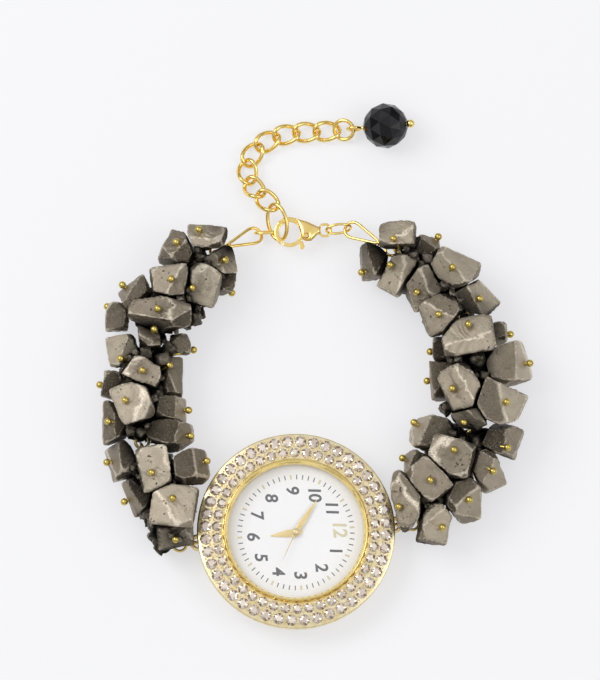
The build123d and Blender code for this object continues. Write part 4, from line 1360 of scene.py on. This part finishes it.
# The drop is a black glass bead cut with rows of flats on a gold headpin, whose other end
# is turned into an eye round the last ring.
bead_radius = 4.65
bead_around = 10
bead_levels = (
    (0.965, 0.22), (0.80, 0.58), (0.45, 0.885), (0.0, 1.0), (-0.45, 0.885), (-0.80, 0.58),
    (-0.965, 0.22),
)
bead_wire = 0.7
bead_eye_radius = 1.3
bead_gap = 0.3
head_radius = 0.855
head_gap = 0.35
jet_dark = (0.0005, 0.0005, 0.001)
jet_shine = (0.010, 0.010, 0.012)
jet_gleam = (0.030, 0.030, 0.033)
bead_centre = pivot["bead_spin"]
bead_axis = Vector(next(
    joint["axis"] for joint in frame["joints"] if joint["name"] == "bead_spin"
)).normalized()
bead_side = level_side(bead_axis)
bead_up = bead_axis.cross(bead_side)
eye_centre = bead_centre - bead_axis * (bead_radius + bead_gap + bead_wire / 2 + bead_eye_radius)
head_place = bead_centre + bead_axis * (bead_radius + bead_gap + head_gap)
shank = [eye_centre + bead_axis * bead_eye_radius, head_place]
headpin = joined(
    eye(eye_centre, bead_axis, bead_up, bead_eye_radius, bead_wire),
    wire(shank, bead_wire / 2, sides=wire_turns_sides),
    ball(head_place, head_radius, rings=10, segments=16),
)
piece("headpin_wire", headpin, "headpin", chain_gold, ["bead_headpin"])

jet = Finish("black_glass", Metallic=0.0, IOR=1.28, Coat_Weight=0.15, Coat_Roughness=0.02)
haze = jet.grain(size=1.2, detail=4)
# Each facet is painted from black to a painted shine by its glint, standing in for reflections.
jet.wear(
    Base_Color=jet.mix(jet.stored("glint"), jet_dark, jet.mix(haze, jet_shine, jet_gleam)),
    Roughness=0.04 + 0.1 * haze,
    Normal=jet.relief(haze, 0.006),
)
points = []
for row, (level, share) in enumerate(bead_levels):
    points += ring_of(bead_radius * share, bead_radius * level, bead_around, 0.5 * (row % 2))
last = len(points) - bead_around
faces = [tuple(range(bead_around)), tuple(last + corner for corner in reversed(range(bead_around)))]
for row in range(len(bead_levels) - 1):
    for corner in range(bead_around):
        upper, lower = row * bead_around + corner, (row + 1) * bead_around + corner
        step = (corner + 1) % bead_around - corner
        if row % 2:
            faces += [(upper, lower, lower + step), (upper, lower + step, upper + step)]
        else:
            faces += [(upper, lower, upper + step), (upper + step, lower, lower + step)]
stand = Matrix((bead_side, bead_up, bead_axis)).transposed().to_4x4()
form = ([stand @ point + bead_centre for point in points], faces)
made = piece("bead_faceted", form, "bead", jet, ["bead"], flat=True)
# A painted glint for each facet.
kept_on(made, "glint", "FACE", [
    glint_order[number * 5 % len(glint_order)] ** 2 for number in range(len(made.data.polygons))
])

# The lobster clasp is cast in gold-plated brass: a round hook that swells into a slim
# body, a tail ring, and a sprung lever on a rivet that closes the hook's mouth.
clasp_level = 3.45
cheek_inner = 0.42
rim_facing = 0.7
dome_width = 1.25
dome_rim_share = 0.1
dome_crown_share = 1.2


def swell(mesh):
    """Give the clasp's flat cheeks a domed top and underside, thinnest at their outline."""
    level_rim = kdtree.KDTree(len(mesh.vertices))
    for corner in mesh.vertices:
        height = corner.co.z / mm - clasp_level
        if abs(height) > cheek_inner and abs(corner.normal.z) < rim_facing:
            level_rim.insert((corner.co.x, corner.co.y, 0), corner.index)
    level_rim.balance()
    for corner in mesh.vertices:
        height = corner.co.z / mm - clasp_level
        if abs(height) > cheek_inner:
            _, _, inset = level_rim.find((corner.co.x, corner.co.y, 0))
            share = 1 - min(1.0, inset / mm / dome_width)
            rise = dome_rim_share + (dome_crown_share - dome_rim_share) * (1 - share ** 2) ** 0.5
            side = 1 if height > 0 else -1
            cheek = cheek_inner + (abs(height) - cheek_inner) * rise
            corner.co.z = (clasp_level + side * cheek) * mm


def cast(node, name, body, finish, grid, passes, domed=False):
    """A copy of a CAD piece with its edges melted round, as on a small casting."""
    mesh = frame["nodes"][node].data.copy()
    mesh.materials.clear()
    mesh.materials.append(finish.material)
    made = placed(name, mesh)
    remade = made.modifiers.new("remade", "REMESH")
    remade.mode = "VOXEL"
    remade.voxel_size = grid * mm
    melted = made.modifiers.new("melted", "SMOOTH")
    melted.factor = 0.5
    melted.iterations = passes
    result = settled(made)
    made.modifiers.clear()
    if domed:
        swell(result)
    made.data = result
    result.polygons.foreach_set("use_smooth", [True] * len(result.polygons))
    declared(made, body, [node])


cast("clasp_body", "clasp_cast_body", "clasp", chain_gold, grid=0.075, passes=30, domed=True)
cast("clasp_lever", "clasp_lever_arm", "clasp_lever", chain_gold, grid=0.06, passes=16)
cast("clasp_rivet", "clasp_rivet_pin", "clasp", band_plating, grid=0.05, passes=3)

# The watch lies on a sheet of pale matt paper, which casts a little light back up under
# the stones, in a studio with two softboxes and a camera that looks down from above.
table_half = 900.0
table_drop = 0.05
paper_dull = (0.90, 0.90, 0.915)
paper_white = (0.93, 0.93, 0.94)
paper_shaded = (0.36, 0.36, 0.365)
paper_lift = (0.555, 0.555, 0.565)
paper_unlit = (0.0, 0.0, 0.0)
studio_low = (0.16, 0.16, 0.17)
studio_high = (0.80, 0.80, 0.82)
lamp_aim = Vector((0, 25, 0))
picture_columns = 600
picture_middle = (300, 341)
camera_distance = 3000.0
camera_near = 0.01
camera_far = 10
sensor = 36.0

paper = Finish("table_paper", Metallic=0.0, Roughness=0.9, Emission_Strength=1.0)
rays = ("Is Camera Ray", "Is Glossy Ray", "Is Transmission Ray")
camera_ray, glossy_ray, glass_ray = (
    paper.node("ShaderNodeLightPath", output=ray) for ray in rays
)
seen = paper.band(camera_ray + glossy_ray + glass_ray, 0.0, 1.0)
paper_face = paper.mix(paper.grain(size=60, detail=2), paper_dull, paper_white)
paper.wear(
    Base_Color=paper.mix(seen, paper_face, paper_shaded),
    Emission_Color=paper.mix(seen, paper_unlit, paper_lift),
)
table_points = [
    (across * table_half, along * table_half, -table_drop)
    for across, along in ((-1, -1), (1, -1), (1, 1), (-1, 1))
]
table_top = placed("table", mesh_from("table", (table_points, [(0, 1, 2, 3)])))
table_top.data.materials.append(paper.material)


class Studio(Finish):
    """The light all round, built from nodes as a finish is."""

    def __init__(self, name):
        world = bpy.data.worlds.new(name)
        world.use_nodes = True
        bpy.context.scene.world = world
        self.tree = world.node_tree
        self.shader = self.tree.nodes["Background"]


studio = Studio("studio")
direction = studio.node("ShaderNodeTexCoord", output="Generated")
height = studio.node("ShaderNodeSeparateXYZ", None, {0: direction}, "Z")
studio.wear(Color=studio.node(
    "ShaderNodeValToRGB", {"stops": ((0.0, studio_low), (0.85, studio_high))}, {"Fac": height}
))


def lamp(name, place, width, depth, power):
    """A softbox aimed at the middle of the watch."""
    light = bpy.data.lights.new(name, "AREA")
    light.shape = "RECTANGLE"
    light.size = width * mm
    light.size_y = depth * mm
    light.energy = power
    made = placed(name, light)
    made.location = Vector(place) * mm
    made.rotation_euler = (lamp_aim - Vector(place)).to_track_quat("-Z", "Y").to_euler()


lamp("softbox_left", (-420, 260, 560), width=420, depth=420, power=2.0)
lamp("softbox_right", (460, -120, 520), width=300, depth=420, power=0.8)

roll = radians(camera_roll)
elevation = radians(camera_elevation)
right = Vector((cos(roll), -sin(roll), 0))
back = Vector((-sin(roll) * cos(elevation), -cos(roll) * cos(elevation), sin(elevation)))
turn = Matrix((right, back.cross(right), back)).transposed().to_4x4()
target = spot(*picture_middle, bezel_lip_top)
lens = bpy.data.cameras.new("camera")
lens.sensor_fit = "HORIZONTAL"
lens.sensor_width = sensor
lens.lens = sensor * camera_distance / (picture_columns * pixel_width)
lens.clip_start = camera_near
lens.clip_end = camera_far
camera = placed("camera", lens)
camera.matrix_world = Matrix.Translation((target + back * camera_distance) * mm) @ turn
bpy.context.scene.camera = camera
bpy.context.scene.view_settings.view_transform = "Standard"
